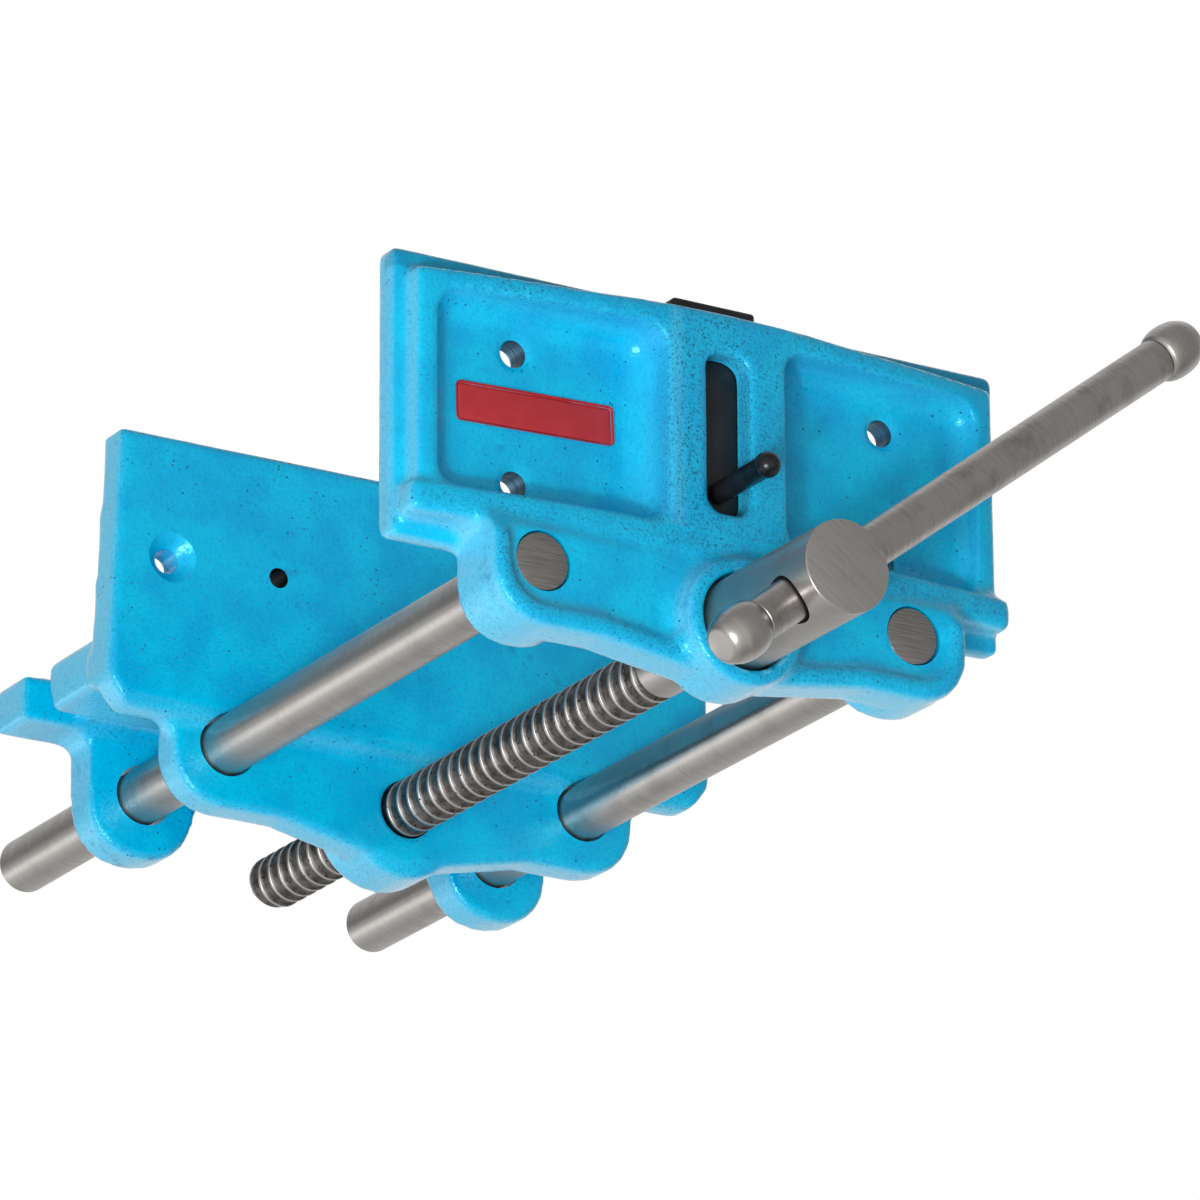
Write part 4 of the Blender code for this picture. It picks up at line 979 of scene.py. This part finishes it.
@dataclass
class RearJaw(Casting):
    """The rear jaw: plate, notched flange, lobed apron, nut boss and the rods' ears."""

    voxel: float = 0.8 * MM
    fillet: float = 1.1 * MM
    rod_bore: float = 7.65 * MM
    apron_reach: tuple[float, float] = (4.4 * MM, 13.9 * MM)
    ear_reach: tuple[float, float] = (47.7 * MM, 58.4 * MM)
    boss_reach: tuple[float, float] = (5.6 * MM, 21.3 * MM)
    seat_front: float = 6.5 * MM
    seat_radius: float = 11.3 * MM
    screw_bore: float = 7.4 * MM
    ear_lobe: float = 14.5 * MM
    sunk: tuple[float, float, float] = (68.5 * MM, 3.2 * MM, 6.15 * MM)
    plain: tuple[float, float] = (39.1 * MM, 2.6 * MM)
    hole_drop: float = 31.2 * MM
    plate: float = 8.9 * MM
    half: float = 82.5 * MM
    draft: tuple[float, float, float] = (2.3 * MM, 1.6 * MM, 57 * MM)
    corner_fillet: float = 4 * MM
    pads: tuple[tuple[float, ...], ...] = (
        (4.4 * MM, 13.5 * MM, 70 * MM, 84.6 * MM, 55 * MM, 63.6 * MM),
        (46 * MM, 61.2 * MM, 55 * MM, 84.4 * MM, 50.3 * MM, 61 * MM),
        (47.7 * MM, 58.4 * MM, 55 * MM, 64.8 * MM, 56 * MM, 75.3 * MM),
    )
    foot: tuple[float, float, float] = (4.6 * MM, 58 * MM, 78 * MM)
    ears: tuple[float, float, float] = (46.3 * MM, 55 * MM, 72 * MM)
    reach: float = 60 * MM

    def plugs(self) -> list[Piece]:
        """Fill the rod bores, the nut's seat and the screw holes."""
        at = self.layout.rear
        fills = []
        for (near, far), radius in ((self.apron_reach, self.rod_bore * 1.06), (self.ear_reach, self.ear_lobe)):
            for rod in self.layout.rods:
                place = at((near + far) / 2, rod.x, self.layout.jaw_top - rod.z)
                fills.append(cylinder("plug", radius, far - near, place))
        near, far = self.boss_reach
        drop = self.layout.jaw_top - self.layout.screw.z
        fills.append(cylinder("plug", self.seat_radius * 1.05, far - near, at((near + far) / 2, 0, drop)))
        for side in (-1, 1):
            x, _, rim = self.sunk
            fills.append(cylinder("plug", rim * 1.1, self.plate, at(self.plate / 2, side * x, self.hole_drop)))
            x, radius = self.plain
            fills.append(cylinder("plug", radius * 1.2, self.plate, at(self.plate / 2, side * x, self.hole_drop)))
        fills.append(self.drafted_plate())
        for side in (-1, 1):
            for near, far, inner, outer, top, bottom in self.pads:
                corners = [at(near, side * inner, bottom), at(far, side * outer, top)]
                low, high = (Vector(map(pick_end, *corners)) for pick_end in (min, max))
                fills.append(block("plug", low, high))
        return fills

    def drafted_plate(self) -> Piece:
        """Return a plate that gets wider and thicker downward, as its mould's draft makes it."""
        at = self.layout.rear
        wider, thicker, bottom = self.draft
        plate = block("plug", at(self.plate / 2, -self.half, bottom), at(self.plate, self.half, 0))
        low = self.layout.jaw_top - bottom / 2
        for side in (-1, 1):
            self.shove(plate, lambda spot: spot.z < low and spot.x * side > 0, (side * wider, 0, 0))
        middle = self.layout.rear_clamp + self.plate * 0.75
        self.shove(plate, lambda spot: spot.z < low and spot.y > middle, (0, thicker, 0))
        front = self.layout.rear_clamp + self.plate / 2
        self.shove(plate, lambda spot: abs(spot.y - front) < WELD, (0, -self.plate / 2, 0))
        return plate

    @staticmethod
    def shove(piece: Piece, wanted: Callable[[Vector], bool], step: tuple[float, float, float]) -> None:
        """Move the corners that a test picks."""
        pick(piece)
        bpy.ops.object.mode_set(mode="EDIT")
        bpy.ops.mesh.select_mode(type="VERT")
        bpy.ops.mesh.select_all(action="DESELECT")
        bpy.ops.object.mode_set(mode="OBJECT")
        for spot in piece.data.vertices:
            spot.select = wanted(spot.co)
        bpy.ops.object.mode_set(mode="EDIT")
        bpy.ops.transform.translate(value=step)
        bpy.ops.object.mode_set(mode="OBJECT")

    def blends(self) -> list[Blend]:
        """Return the corners of foot and lobes, and of flange and ears."""
        at = self.layout.rear
        wide = self.reach * 2
        regions = []
        for near, top, bottom in (self.foot, self.ears):
            regions.append(Blend(self.corner_fillet, at(near, -wide, bottom), at(near + self.reach / 4, wide, top)))
        return regions

    def rubbing(self, spot: Vector, normal: Vector) -> float:
        """Only the edges are rubbed a little."""
        return 0.5 * float(abs(normal.y) > 0.3 and math.hypot(normal.x, normal.z) > 0.3)

    def is_bare(self, spot: Vector) -> bool:
        """The plain holes are bare inside; their near-black tone is partly oil and partly painted shade."""
        x, radius = self.plain
        drop = self.layout.jaw_top - spot.z
        return any(math.hypot(spot.x - side * x, drop - self.hole_drop) < radius for side in (-1, 1))

    def cutters(self) -> list[list[Piece]]:
        """Return the bores of rods, screw and nut, and the plate's screw holes."""
        at = self.layout.rear
        first, second = [], []
        for rod in self.layout.rods:
            place = at(self.reach / 2, rod.x, self.layout.jaw_top - rod.z)
            first.append(cylinder("cut", self.rod_bore, self.reach * 2, place))
        drop = self.layout.jaw_top - self.layout.screw.z
        first.append(cylinder("cut", self.screw_bore, self.reach, at(0, 0, drop)))
        second.append(cylinder("cut", self.seat_radius, self.reach, at(self.seat_front + self.reach / 2, 0, drop)))
        for side in (-1, 1):
            x, radius, rim = self.sunk
            middle = at(0, side * x, self.hole_drop)
            first.append(cylinder("cut", radius, self.reach, middle, sides=48))
            cone = rim - radius * 0.8
            profile = [(0, -cone), (radius * 0.8, -cone), (rim + cone, cone), (0, cone)]
            second.append(lathe("cut", profile, middle, Euler(FACING_FRONT).to_matrix(), 48))
            x, radius = self.plain
            first.append(cylinder("cut", radius, self.reach, at(0, side * x, self.hole_drop), sides=48))
        return [first, second]


@dataclass
class GuideRods:
    """Two ground steel rods, sawn off at the front and rounded at the rear."""

    layout: Layout
    radius: float = 7 * MM
    front_edge: float = 0.4 * MM
    rear_edge: float = 1.6 * MM

    def build(self, ground: bpy.types.Material, sawn: bpy.types.Material) -> list[Piece]:
        """Turn both rods.

        Args:
            ground: Finish of the flanks.
            sawn: Finish of the front ends.

        Returns:
            The two rods.
        """
        made = []
        for side in ("left", "right"):
            node = f"guide_rod_{side}"
            low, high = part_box(node)
            length = high.y - low.y
            middle = (low + high) / 2
            start = Vector((middle.x, low.y, middle.z))
            edge, back = self.front_edge, self.rear_edge
            profile = [(0, 0), (self.radius - edge, 0), *arc((self.radius - edge, edge), edge, -60, 0, 3)]
            profile += [(self.radius, length * share / 6) for share in range(1, 6)]
            profile += [*arc((self.radius - back, length - back), back, 0, 84, 8), (0, length)]
            rod = lathe(node + "_bar", profile, start, Euler((-math.pi / 2, 0, 0)).to_matrix())
            wear(rod, ground, sawn)
            smooth(rod, 40)
            for face in rod.data.polygons:
                face.material_index = int(face.center.y < low.y + edge / 8)
            hand_over(rod, "moving_jaw", "bare_steel", node)
            made.append(rod)
        return made


@dataclass
class LeadScrew:
    """The screw: thick cross-drilled head, plain neck and a right-hand thread of wide grooves."""

    layout: Layout
    radius: float = 7 * MM
    head_radius: float = 11.15 * MM
    head_back: float = 18.9 * MM
    head_edge: float = 0.35 * MM
    cross_radius: float = 6.05 * MM
    pitch: float = 5 * MM
    crest: float = 0.7 * MM
    flank: float = 0.55 * MM
    depth: float = 0.75 * MM
    thread_front: float = 10.5 * MM
    run_out: float = 4 * MM
    steps: int = 72

    def thread(self, near: float, far: float) -> Piece:
        """Cut the thread: one pitch of its section is drawn and wound back along the screw.

        Args:
            near: The thread's front end, along Y.
            far: The screw's rear end, along Y.

        Returns:
            The threaded length, open at both ends.
        """
        rest = self.pitch - self.crest - 2 * self.flank
        root = self.radius - self.depth
        section = [
            (self.radius, 0.0),
            (self.radius, self.crest),
            (self.radius - self.depth * 0.75, self.crest + self.flank * 0.8),
            (root, self.crest + self.flank * 1.4),
            (root, self.crest + self.flank + rest / 2),
            (root, self.crest + self.flank * 0.6 + rest),
            (self.radius - self.depth * 0.75, self.crest + self.flank * 1.2 + rest),
            (self.radius, self.pitch),
        ]
        deselect()
        bpy.ops.mesh.primitive_plane_add(size=MM)
        piece = bpy.context.active_object
        bpy.ops.object.mode_set(mode="EDIT")
        bpy.ops.mesh.select_mode(type="VERT")
        bpy.ops.mesh.select_all(action="SELECT")
        bpy.ops.mesh.merge(type="CENTER")
        bpy.ops.transform.translate(value=(section[0][0], 0, -section[0][1]))
        for before, after in zip(section, section[1:]):
            step = (after[0] - before[0], 0, before[1] - after[1])
            bpy.ops.mesh.extrude_region_move(TRANSFORM_OT_translate={"value": step})
        bpy.ops.object.mode_set(mode="OBJECT")
        turns = math.ceil((far - near) / self.pitch) + 2
        apply(
            piece,
            "SCREW",
            steps=self.steps,
            render_steps=self.steps,
            screw_offset=-self.pitch,
            iterations=turns,
            use_merge_vertices=True,
            merge_threshold=WELD,
            use_normal_calculate=True,
        )
        piece.matrix_world = Matrix.Translation((self.layout.screw.x, near - self.pitch, self.layout.screw.z)) @ (
            Euler((math.pi / 2, 0, 0)).to_matrix().to_4x4()
        )
        settle(piece, "thread")
        saw(piece, Vector((0, near, 0)), 1, True)
        saw(piece, Vector((0, far - self.depth, 0)), 1, False)
        return piece

    def build(self, looks: dict[str, bpy.types.Material]) -> Piece:
        """Make head, neck and thread as one piece.

        Args:
            looks: Finishes by name: flank, face, thread.

        Returns:
            The finished screw.
        """
        low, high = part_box("lead_screw")
        front = low.y
        axis = self.layout.screw
        neck = self.layout.front_clamp - self.head_back
        near = self.layout.front_clamp + self.thread_front
        edge = self.head_edge
        head_length = neck - front
        profile = [
            (0, 0),
            (self.head_radius - edge, 0),
            *arc((self.head_radius - edge, edge), edge, -60, 0, 3),
            (self.head_radius, head_length / 2),
            (self.head_radius, head_length - edge),
            (self.head_radius - edge, head_length),
            (self.radius, head_length),
            (self.radius, near - front + self.pitch / 8),
            (0, near - front + self.pitch / 8),
        ]
        start = Vector((axis.x, front, axis.z))
        screw = lathe("lead_screw_turned", profile, start, Euler((-math.pi / 2, 0, 0)).to_matrix(), 128)
        slope = self.layout.slope
        lay = slope.to_track_quat("Z", "Y").to_euler()
        cross = cylinder("cut", self.cross_radius, self.head_radius * 4, self.layout.cross, tuple(lay), 96)
        carve(screw, [cross])
        thread = self.thread(near, high.y)
        join(screw, [thread])
        wear(screw, looks["flank"], looks["face"], looks["thread"])
        for face in screw.data.polygons:
            spot = face.center
            if spot.y < front + edge / 8:
                face.material_index = 1
            elif spot.y > near:
                face.material_index = 2
            else:
                face.material_index = 0
        smooth(screw, 38)
        hand_over(screw, "screw", "bare_steel", "lead_screw")
        return screw


@dataclass
class Handle:
    """The sliding bar and its two knobs."""

    layout: Layout
    radius: float = 5.25 * MM
    near_neck: float = 21.4 * MM
    far_neck: float = 120.6 * MM
    knob_length: float = 11.9 * MM
    knob_radius: float = 6.75 * MM
    belly: float = 4.7 * MM
    ridge: float = 8.4 * MM
    flat: float = 3.6 * MM
    groove: float = 0.25 * MM

    def build(self, bar_look: bpy.types.Material, knob_look: bpy.types.Material) -> list[Piece]:
        """Turn the bar and the knobs.

        Args:
            bar_look: Finish of the bar.
            knob_look: Finish of the knobs.

        Returns:
            Bar, near knob and far knob.
        """
        turn = self.layout.slope.to_track_quat("Z", "Y").to_matrix()
        gap = self.groove
        low, high = -self.near_neck + gap, self.far_neck - gap
        profile = [(0, low), (self.radius - gap, low), (self.radius, low + gap)]
        profile += [(self.radius, low + (high - low) * share / 4) for share in range(1, 4)]
        profile += [(self.radius, high - gap), (self.radius - gap, high), (0, high)]
        bar = lathe("handle_bar_turned", profile, self.layout.cross, turn)
        wear(bar, bar_look)
        smooth(bar, 40)
        hand_over(bar, "handle", "bare_steel", "handle_bar")
        made = [bar]
        for label, neck, side in (("near", self.near_neck, -1), ("far", self.far_neck, 1)):
            knob = self.knob(f"handle_knob_{label}_turned", side, neck, turn)
            wear(knob, knob_look)
            smooth(knob, 50)
            hand_over(knob, "handle", "bare_steel", f"handle_knob_{label}")
            made.append(knob)
        return made

    def knob(self, name: str, side: int, neck: float, turn: Matrix) -> Piece:
        """Turn one knob: bulged from the bar's edge, ridged where the dome was turned, flat at the tip."""
        swell = self.knob_radius - self.radius
        profile = [(0, 0), (self.radius - self.groove, 0), (self.radius, self.groove)]
        for step in range(1, 9):
            angle = math.pi / 2 * step / 8
            height = self.groove + (self.belly - self.groove) * (1 - math.cos(angle))
            profile.append((self.radius + swell * math.sin(angle), height))
        shrink = self.knob_radius - self.flat
        length = self.knob_length - self.belly
        for step in range(1, 15):
            angle = math.pi / 2 * step / 15
            height = self.belly + length * math.sin(angle)
            cut = self.groove * 0.5 if height > self.ridge else 0.0
            profile.append((self.flat + shrink * math.cos(angle) - cut, height))
        profile += [(self.flat, self.knob_length), (0, self.knob_length)]
        heights = [(radius, side * (neck + height)) for radius, height in profile]
        return lathe(name, heights, self.layout.cross, turn)


@dataclass
class SlidingDog:
    """The black dog bar and its ball-ended lifting pin."""

    layout: Layout
    half: float = 11.3 * MM
    top: float = 0.2 * MM
    bottom: float = 56 * MM
    front: float = 14.3 * MM
    back: float = 5.6 * MM
    edge: float = 0.9 * MM
    pin_drop: float = 47.7 * MM
    pin_radius: float = 2.65 * MM
    ball_radius: float = 3.15 * MM
    tip: float = 39.6 * MM

    def build(self, bar_look: bpy.types.Material, pin_look: bpy.types.Material) -> list[Piece]:
        """Make bar and pin.

        Args:
            bar_look: Finish of the bar.
            pin_look: Finish of the pin.

        Returns:
            Bar and pin.
        """
        at = self.layout.front
        bar = block("dog_bar_blacked", at(self.front, -self.half, self.bottom), at(self.back, self.half, self.top))
        apply(bar, "BEVEL", width=self.edge, segments=3, limit_method="ANGLE", use_clamp_overlap=False)
        wear(bar, bar_look)
        smooth(bar, 40)
        hand_over(bar, "dog", "black_steel", "dog_bar")
        neck = math.sqrt(self.ball_radius**2 - self.pin_radius**2)
        seat = self.front - 2 * self.edge
        ball = self.tip - self.ball_radius
        start = math.degrees(math.atan2(-neck, self.pin_radius))
        profile = [(0, seat), (self.pin_radius, seat), (self.pin_radius, (seat + ball) / 2)]
        profile += [*arc((0, ball), self.ball_radius, start, 88, 14), (0, self.tip)]
        pin = lathe("dog_pin_blacked", profile, at(0, 0, self.pin_drop), Euler((math.pi / 2, 0, 0)).to_matrix(), 48)
        wear(pin, pin_look)
        smooth(pin, 50)
        hand_over(pin, "dog", "black_steel", "dog_pin")
        return [bar, pin]


@dataclass
class NamePlate:
    """The bare red plate on the left pocket's floor: no words, only a small rolled edge."""

    layout: Layout
    width: float = 42 * MM
    height: float = 9.7 * MM
    thickness: float = 0.7 * MM
    corner: float = 1.2 * MM
    edge: float = 0.2 * MM
    tilt: float = math.radians(1.9)
    x: float = -45.2 * MM
    drop: float = 34.2 * MM
    floor: float = 7.2 * MM

    def build(self, look: bpy.types.Material) -> Piece:
        """Press the plate and lay it on the pocket's floor."""
        deselect()
        middle = self.layout.front(self.floor + self.thickness / 2, self.x, self.drop)
        bpy.ops.mesh.primitive_cube_add(size=1, location=(0, 0, 0), scale=(self.width, self.thickness, self.height))
        plate = settle(bpy.context.active_object, "front_plate_bare")
        for edge in plate.data.edges:
            ends = [plate.data.vertices[index].co for index in edge.vertices]
            edge.select = abs(ends[0].y - ends[1].y) > self.thickness / 2
        bpy.ops.object.mode_set(mode="EDIT")
        bpy.ops.mesh.select_mode(type="EDGE")
        bpy.ops.object.mode_set(mode="OBJECT")
        for edge in plate.data.edges:
            ends = [plate.data.vertices[index].co for index in edge.vertices]
            edge.select = abs(ends[0].y - ends[1].y) > self.thickness / 2
        bpy.ops.object.mode_set(mode="EDIT")
        bpy.ops.mesh.bevel(offset=self.corner, segments=6, clamp_overlap=False)
        bpy.ops.object.mode_set(mode="OBJECT")
        apply(plate, "BEVEL", width=self.edge, segments=2, limit_method="ANGLE", use_clamp_overlap=False)
        plate.matrix_world = Matrix.Translation(middle) @ Matrix.Rotation(-self.tilt, 4, "Y")
        settle(plate, "front_plate_bare")
        wear(plate, look)
        smooth(plate, 40)
        hand_over(plate, "moving_jaw", "blue_casting")
        return plate


@dataclass(frozen=True)
class Lamp:
    """One soft box."""

    name: str
    place: tuple[float, float, float]
    size: float
    power: float

    def build(self, target: Vector) -> None:
        """Hang the soft box and aim it."""
        light = bpy.data.lights.new(self.name, "AREA")
        light.shape = "DISK"
        light.size = self.size
        light.energy = self.power
        item = bpy.data.objects.new(self.name, light)
        bpy.context.scene.collection.objects.link(item)
        item.location = target + Vector(self.place)
        item.rotation_euler = (-Vector(self.place)).to_track_quat("-Z", "Y").to_euler()


@dataclass
class Studio:
    """White floor and surroundings, soft boxes, and the camera at the photograph's angle.

    The ring and the room hold the light that comes from around the vise, in two halves.
    """

    azimuth: float = 31.18
    elevation: float = 20.032
    roll: float = -0.35
    place: tuple[float, float, float] = (-0.9235, -1.64875, -0.6575)
    lens: float = 240.0
    sensor: float = 36.0
    floor_drop: float = 1.4
    floor_size: float = 12.0
    ring: tuple[Point, ...] = (
        (-166, 0.7),
        (-156, 1.3),
        (-146, 1.6),
        (-136, 1.45),
        (-125, 1.0),
        (-112, 0.86),
        (-87, 0.62),
        (-60, 0.68),
        (-17, 0.86),
        (60, 0.95),
        (100, 0.75),
        (124, 0.66),
        (139, 0.42),
        (155, 0.3),
        (169, 0.3),
        (180, 0.42),
    )
    room: tuple[float, float] = (0.264, 0.6)
    shine: float = 0.6
    key: tuple[float, float, float] = (-0.82, -0.78, -0.64)

    def camera(self) -> None:
        """Set the camera: it looks up at the vise from the front left."""
        azimuth, elevation = math.radians(self.azimuth), math.radians(self.elevation)
        level = math.cos(elevation)
        forward = Vector((math.sin(azimuth) * level, math.cos(azimuth) * level, math.sin(elevation)))
        data = bpy.data.cameras.new("camera")
        data.lens = self.lens
        data.sensor_width = self.sensor
        data.clip_end = 100.0
        item = bpy.data.objects.new("camera", data)
        bpy.context.scene.collection.objects.link(item)
        aim = forward.to_track_quat("-Z", "Y").to_matrix().to_4x4()
        item.matrix_world = Matrix.Translation(self.place) @ aim @ Matrix.Rotation(math.radians(self.roll), 4, "Z")
        bpy.context.scene.camera = item

    def surroundings(self) -> None:
        """Surround the vise with a pale backdrop behind it and a dim room in front of it.

        Gloss and steel see the backdrop as a ring around the vise's length: a soft box low at the
        left, dark above it.  They also see more of the room.  The camera sees plain white.
        """
        world = bpy.data.worlds.new("studio")
        world.use_nodes = True
        tree = world.node_tree
        tree.nodes.clear()
        way = add_node(tree, "ShaderNodeTexCoord").outputs["Generated"]
        split = add_node(tree, "ShaderNodeSeparateXYZ", {"Vector": way}).outputs
        angle = add_node(tree, "ShaderNodeMath", {0: split["Z"], 1: split["X"]}, operation="ARCTAN2")
        round_share = add_node(
            tree, "ShaderNodeMapRange", {"Value": angle.outputs["Value"], "From Min": -math.pi, "From Max": math.pi}
        )
        ring = add_node(tree, "ShaderNodeValToRGB", {"Fac": round_share.outputs["Result"]})
        stops = sorted(((degrees + 180) / 360, level) for degrees, level in self.ring)
        while len(ring.color_ramp.elements) < len(stops):
            ring.color_ramp.elements.new(0.5)
        for element, (place, level) in zip(ring.color_ramp.elements, stops):
            element.position = place
            element.color = (level, level, level, 1.0)
        to_left = add_node(
            tree, "ShaderNodeVectorMath", {0: way, 1: Vector(self.key).normalized()}, operation="DOT_PRODUCT"
        )
        front = add_node(
            tree,
            "ShaderNodeMapRange",
            {"Value": to_left.outputs["Value"], "From Min": 0.1, "From Max": 0.9, "To Min": self.room[0],
             "To Max": self.room[1]},
        )
        behind = add_node(
            tree,
            "ShaderNodeMapRange",
            {"Value": split["Y"], "From Min": -0.1, "From Max": 0.4},
            interpolation_type="SMOOTHSTEP",
        )
        path = add_node(tree, "ShaderNodeLightPath")
        shine = add_node(
            tree, "ShaderNodeMath", {0: path.outputs["Is Glossy Ray"], 1: self.shine, 2: 1.0}, operation="MULTIPLY_ADD"
        )
        shown = add_node(
            tree, "ShaderNodeMath", {0: front.outputs["Result"], 1: shine.outputs["Value"]}, operation="MULTIPLY"
        )
        level = add_node(
            tree,
            "ShaderNodeMix",
            {"Factor": behind.outputs["Result"], 6: shown.outputs["Value"], 7: ring.outputs["Color"]},
            data_type="RGBA",
        )
        around = add_node(tree, "ShaderNodeBackground", {"Color": level.outputs[2], "Strength": 1.0})
        seen = add_node(tree, "ShaderNodeBackground", {"Color": linear("#FFFFFF"), "Strength": 1.0})
        mixed = add_node(
            tree,
            "ShaderNodeMixShader",
            {"Fac": path.outputs["Is Camera Ray"], 1: around.outputs["Background"], 2: seen.outputs["Background"]},
        )
        add_node(tree, "ShaderNodeOutputWorld", {"Surface": mixed.outputs["Shader"]})
        bpy.context.scene.world = world

    def floor(self) -> None:
        """Lay the pale floor well below the vise, as under a bench."""
        deselect()
        bpy.ops.mesh.primitive_plane_add(size=self.floor_size, location=(0, 0, -self.floor_drop))
        ground = settle(bpy.context.active_object, "studio_floor")
        look, tree, shader = new_material("matt_white_floor_paint")
        shader.inputs["Base Color"].default_value = linear("#F2F2F2")
        shader.inputs["Roughness"].default_value = 0.9
        # Shiny surfaces see the ring of light through the floor.
        path = add_node(tree, "ShaderNodeLightPath").outputs["Is Glossy Ray"]
        clear = add_node(tree, "ShaderNodeBsdfTransparent").outputs["BSDF"]
        mixed = add_node(tree, "ShaderNodeMixShader", {"Fac": path, 1: shader.outputs["BSDF"], 2: clear})
        tree.links.new(mixed.outputs["Shader"], tree.nodes["Material Output"].inputs["Surface"])
        wear(ground, look)

    def build(self, target: Vector) -> None:
        """Set up camera, surroundings, floor and soft boxes."""
        self.camera()
        self.surroundings()
        self.floor()
        lamps = (
            Lamp("key_low_left", self.key, 0.11, 4.8),
            Lamp("soft_box_low_left", tuple(Vector(self.key) * 1.4), 0.9, 17.0),
        )
        for lamp in lamps:
            lamp.build(target)
        bpy.context.scene.view_settings.view_transform = "Standard"


def main() -> None:
    """Build every sub-assembly, dress the small parts and set the studio."""
    logging.basicConfig(level=logging.INFO, format="%(name)s: %(message)s")
    layout = Layout.read()
    along_y = (0.0, 0.0, math.pi / 2)
    lift = math.atan2(layout.slope.z, layout.slope.x)
    enamel = CastEnamel(top=layout.jaw_top).build()
    fine, faint = 0.2 * MM, 0.006 * MM
    misted = CutSteel("paint_misted_hole_iron", "#64889F", "#48697F", 0.45, depth=faint, turn=along_y).build()
    # Painted shade: the rear plate's plain holes are near black inside, partly for oil and partly for the shade in
    # them.
    drilled = CutSteel("drilled_iron_in_painted_shade", "#303237", "#24262A", 0.45, depth=faint, turn=along_y).build()
    ground = CutSteel("ground_rod_steel", "#B3B0AC", "#A8A4A0", 0.3, fine, depth=faint, turn=along_y, smear=0.85).build()
    sawn = CutSteel("sawn_rod_end_steel", "#A39E9A", "#827D79", 0.45, turn=(0.0, math.pi / 2, 0.0)).build()
    flank = CutSteel("turned_head_steel", "#B1AEAA", "#A4A19D", 0.36, fine, depth=faint, turn=along_y, smear=0.7).build()
    face = CutSteel("faced_head_steel", "#B8B5B1", "#A7A39F", 0.4, turn=(0.0, math.radians(-55), 0.0)).build()
    along_bar = (0.0, -lift, 0.0)
    bar = CutSteel("drawn_bar_steel", "#B4B0AC", "#A19C97", 0.34, fine, depth=faint, turn=along_bar, staining=0.5).build()
    knob = CutSteel("turned_knob_steel", "#B2AEAA", "#A19D98", 0.3, fine, depth=faint, turn=along_bar).build()
    thread = ThreadSteel(axis=layout.screw).build()
    black = SatinCoat("black_oxide_steel", "#17181B", "#26282C", 0.42, 0.3).build()
    pin_black = SatinCoat("rubbed_black_oxide_steel", "#1B1D20", "#34373C", 0.28, 0.5).build()
    red = SatinCoat("red_lacquered_aluminium", "#AE262D", "#B92F35", 0.38).build()
    plain = CutSteel("plain_fitting_steel", "#73706C", "#5E5B57", 0.38, turn=along_y).build()

    FrontJaw(layout, "front_jaw", "moving_jaw").build(enamel, misted)
    RearJaw(layout, "rear_jaw", "fixed_jaw").build(enamel, drilled)
    GuideRods(layout).build(ground, sawn)
    LeadScrew(layout).build({"flank": flank, "face": face, "thread": thread})
    Handle(layout).build(bar, knob)
    SlidingDog(layout).build(black, pin_black)
    NamePlate(layout).build(red)
    small = (
        "screw_nut",
        "nut_pin",
        "rod_pin_left",
        "rod_pin_right",
        "thrust_washer",
        "retaining_collar",
        "collar_pin",
        "dog_spring",
        "dog_spring_rivet",
    )
    for name in small:
        wear(frame["nodes"][name], plain)
    Studio().build(layout.front(0, 0, 40 * MM))


if __name__ == "__main__":
    main()
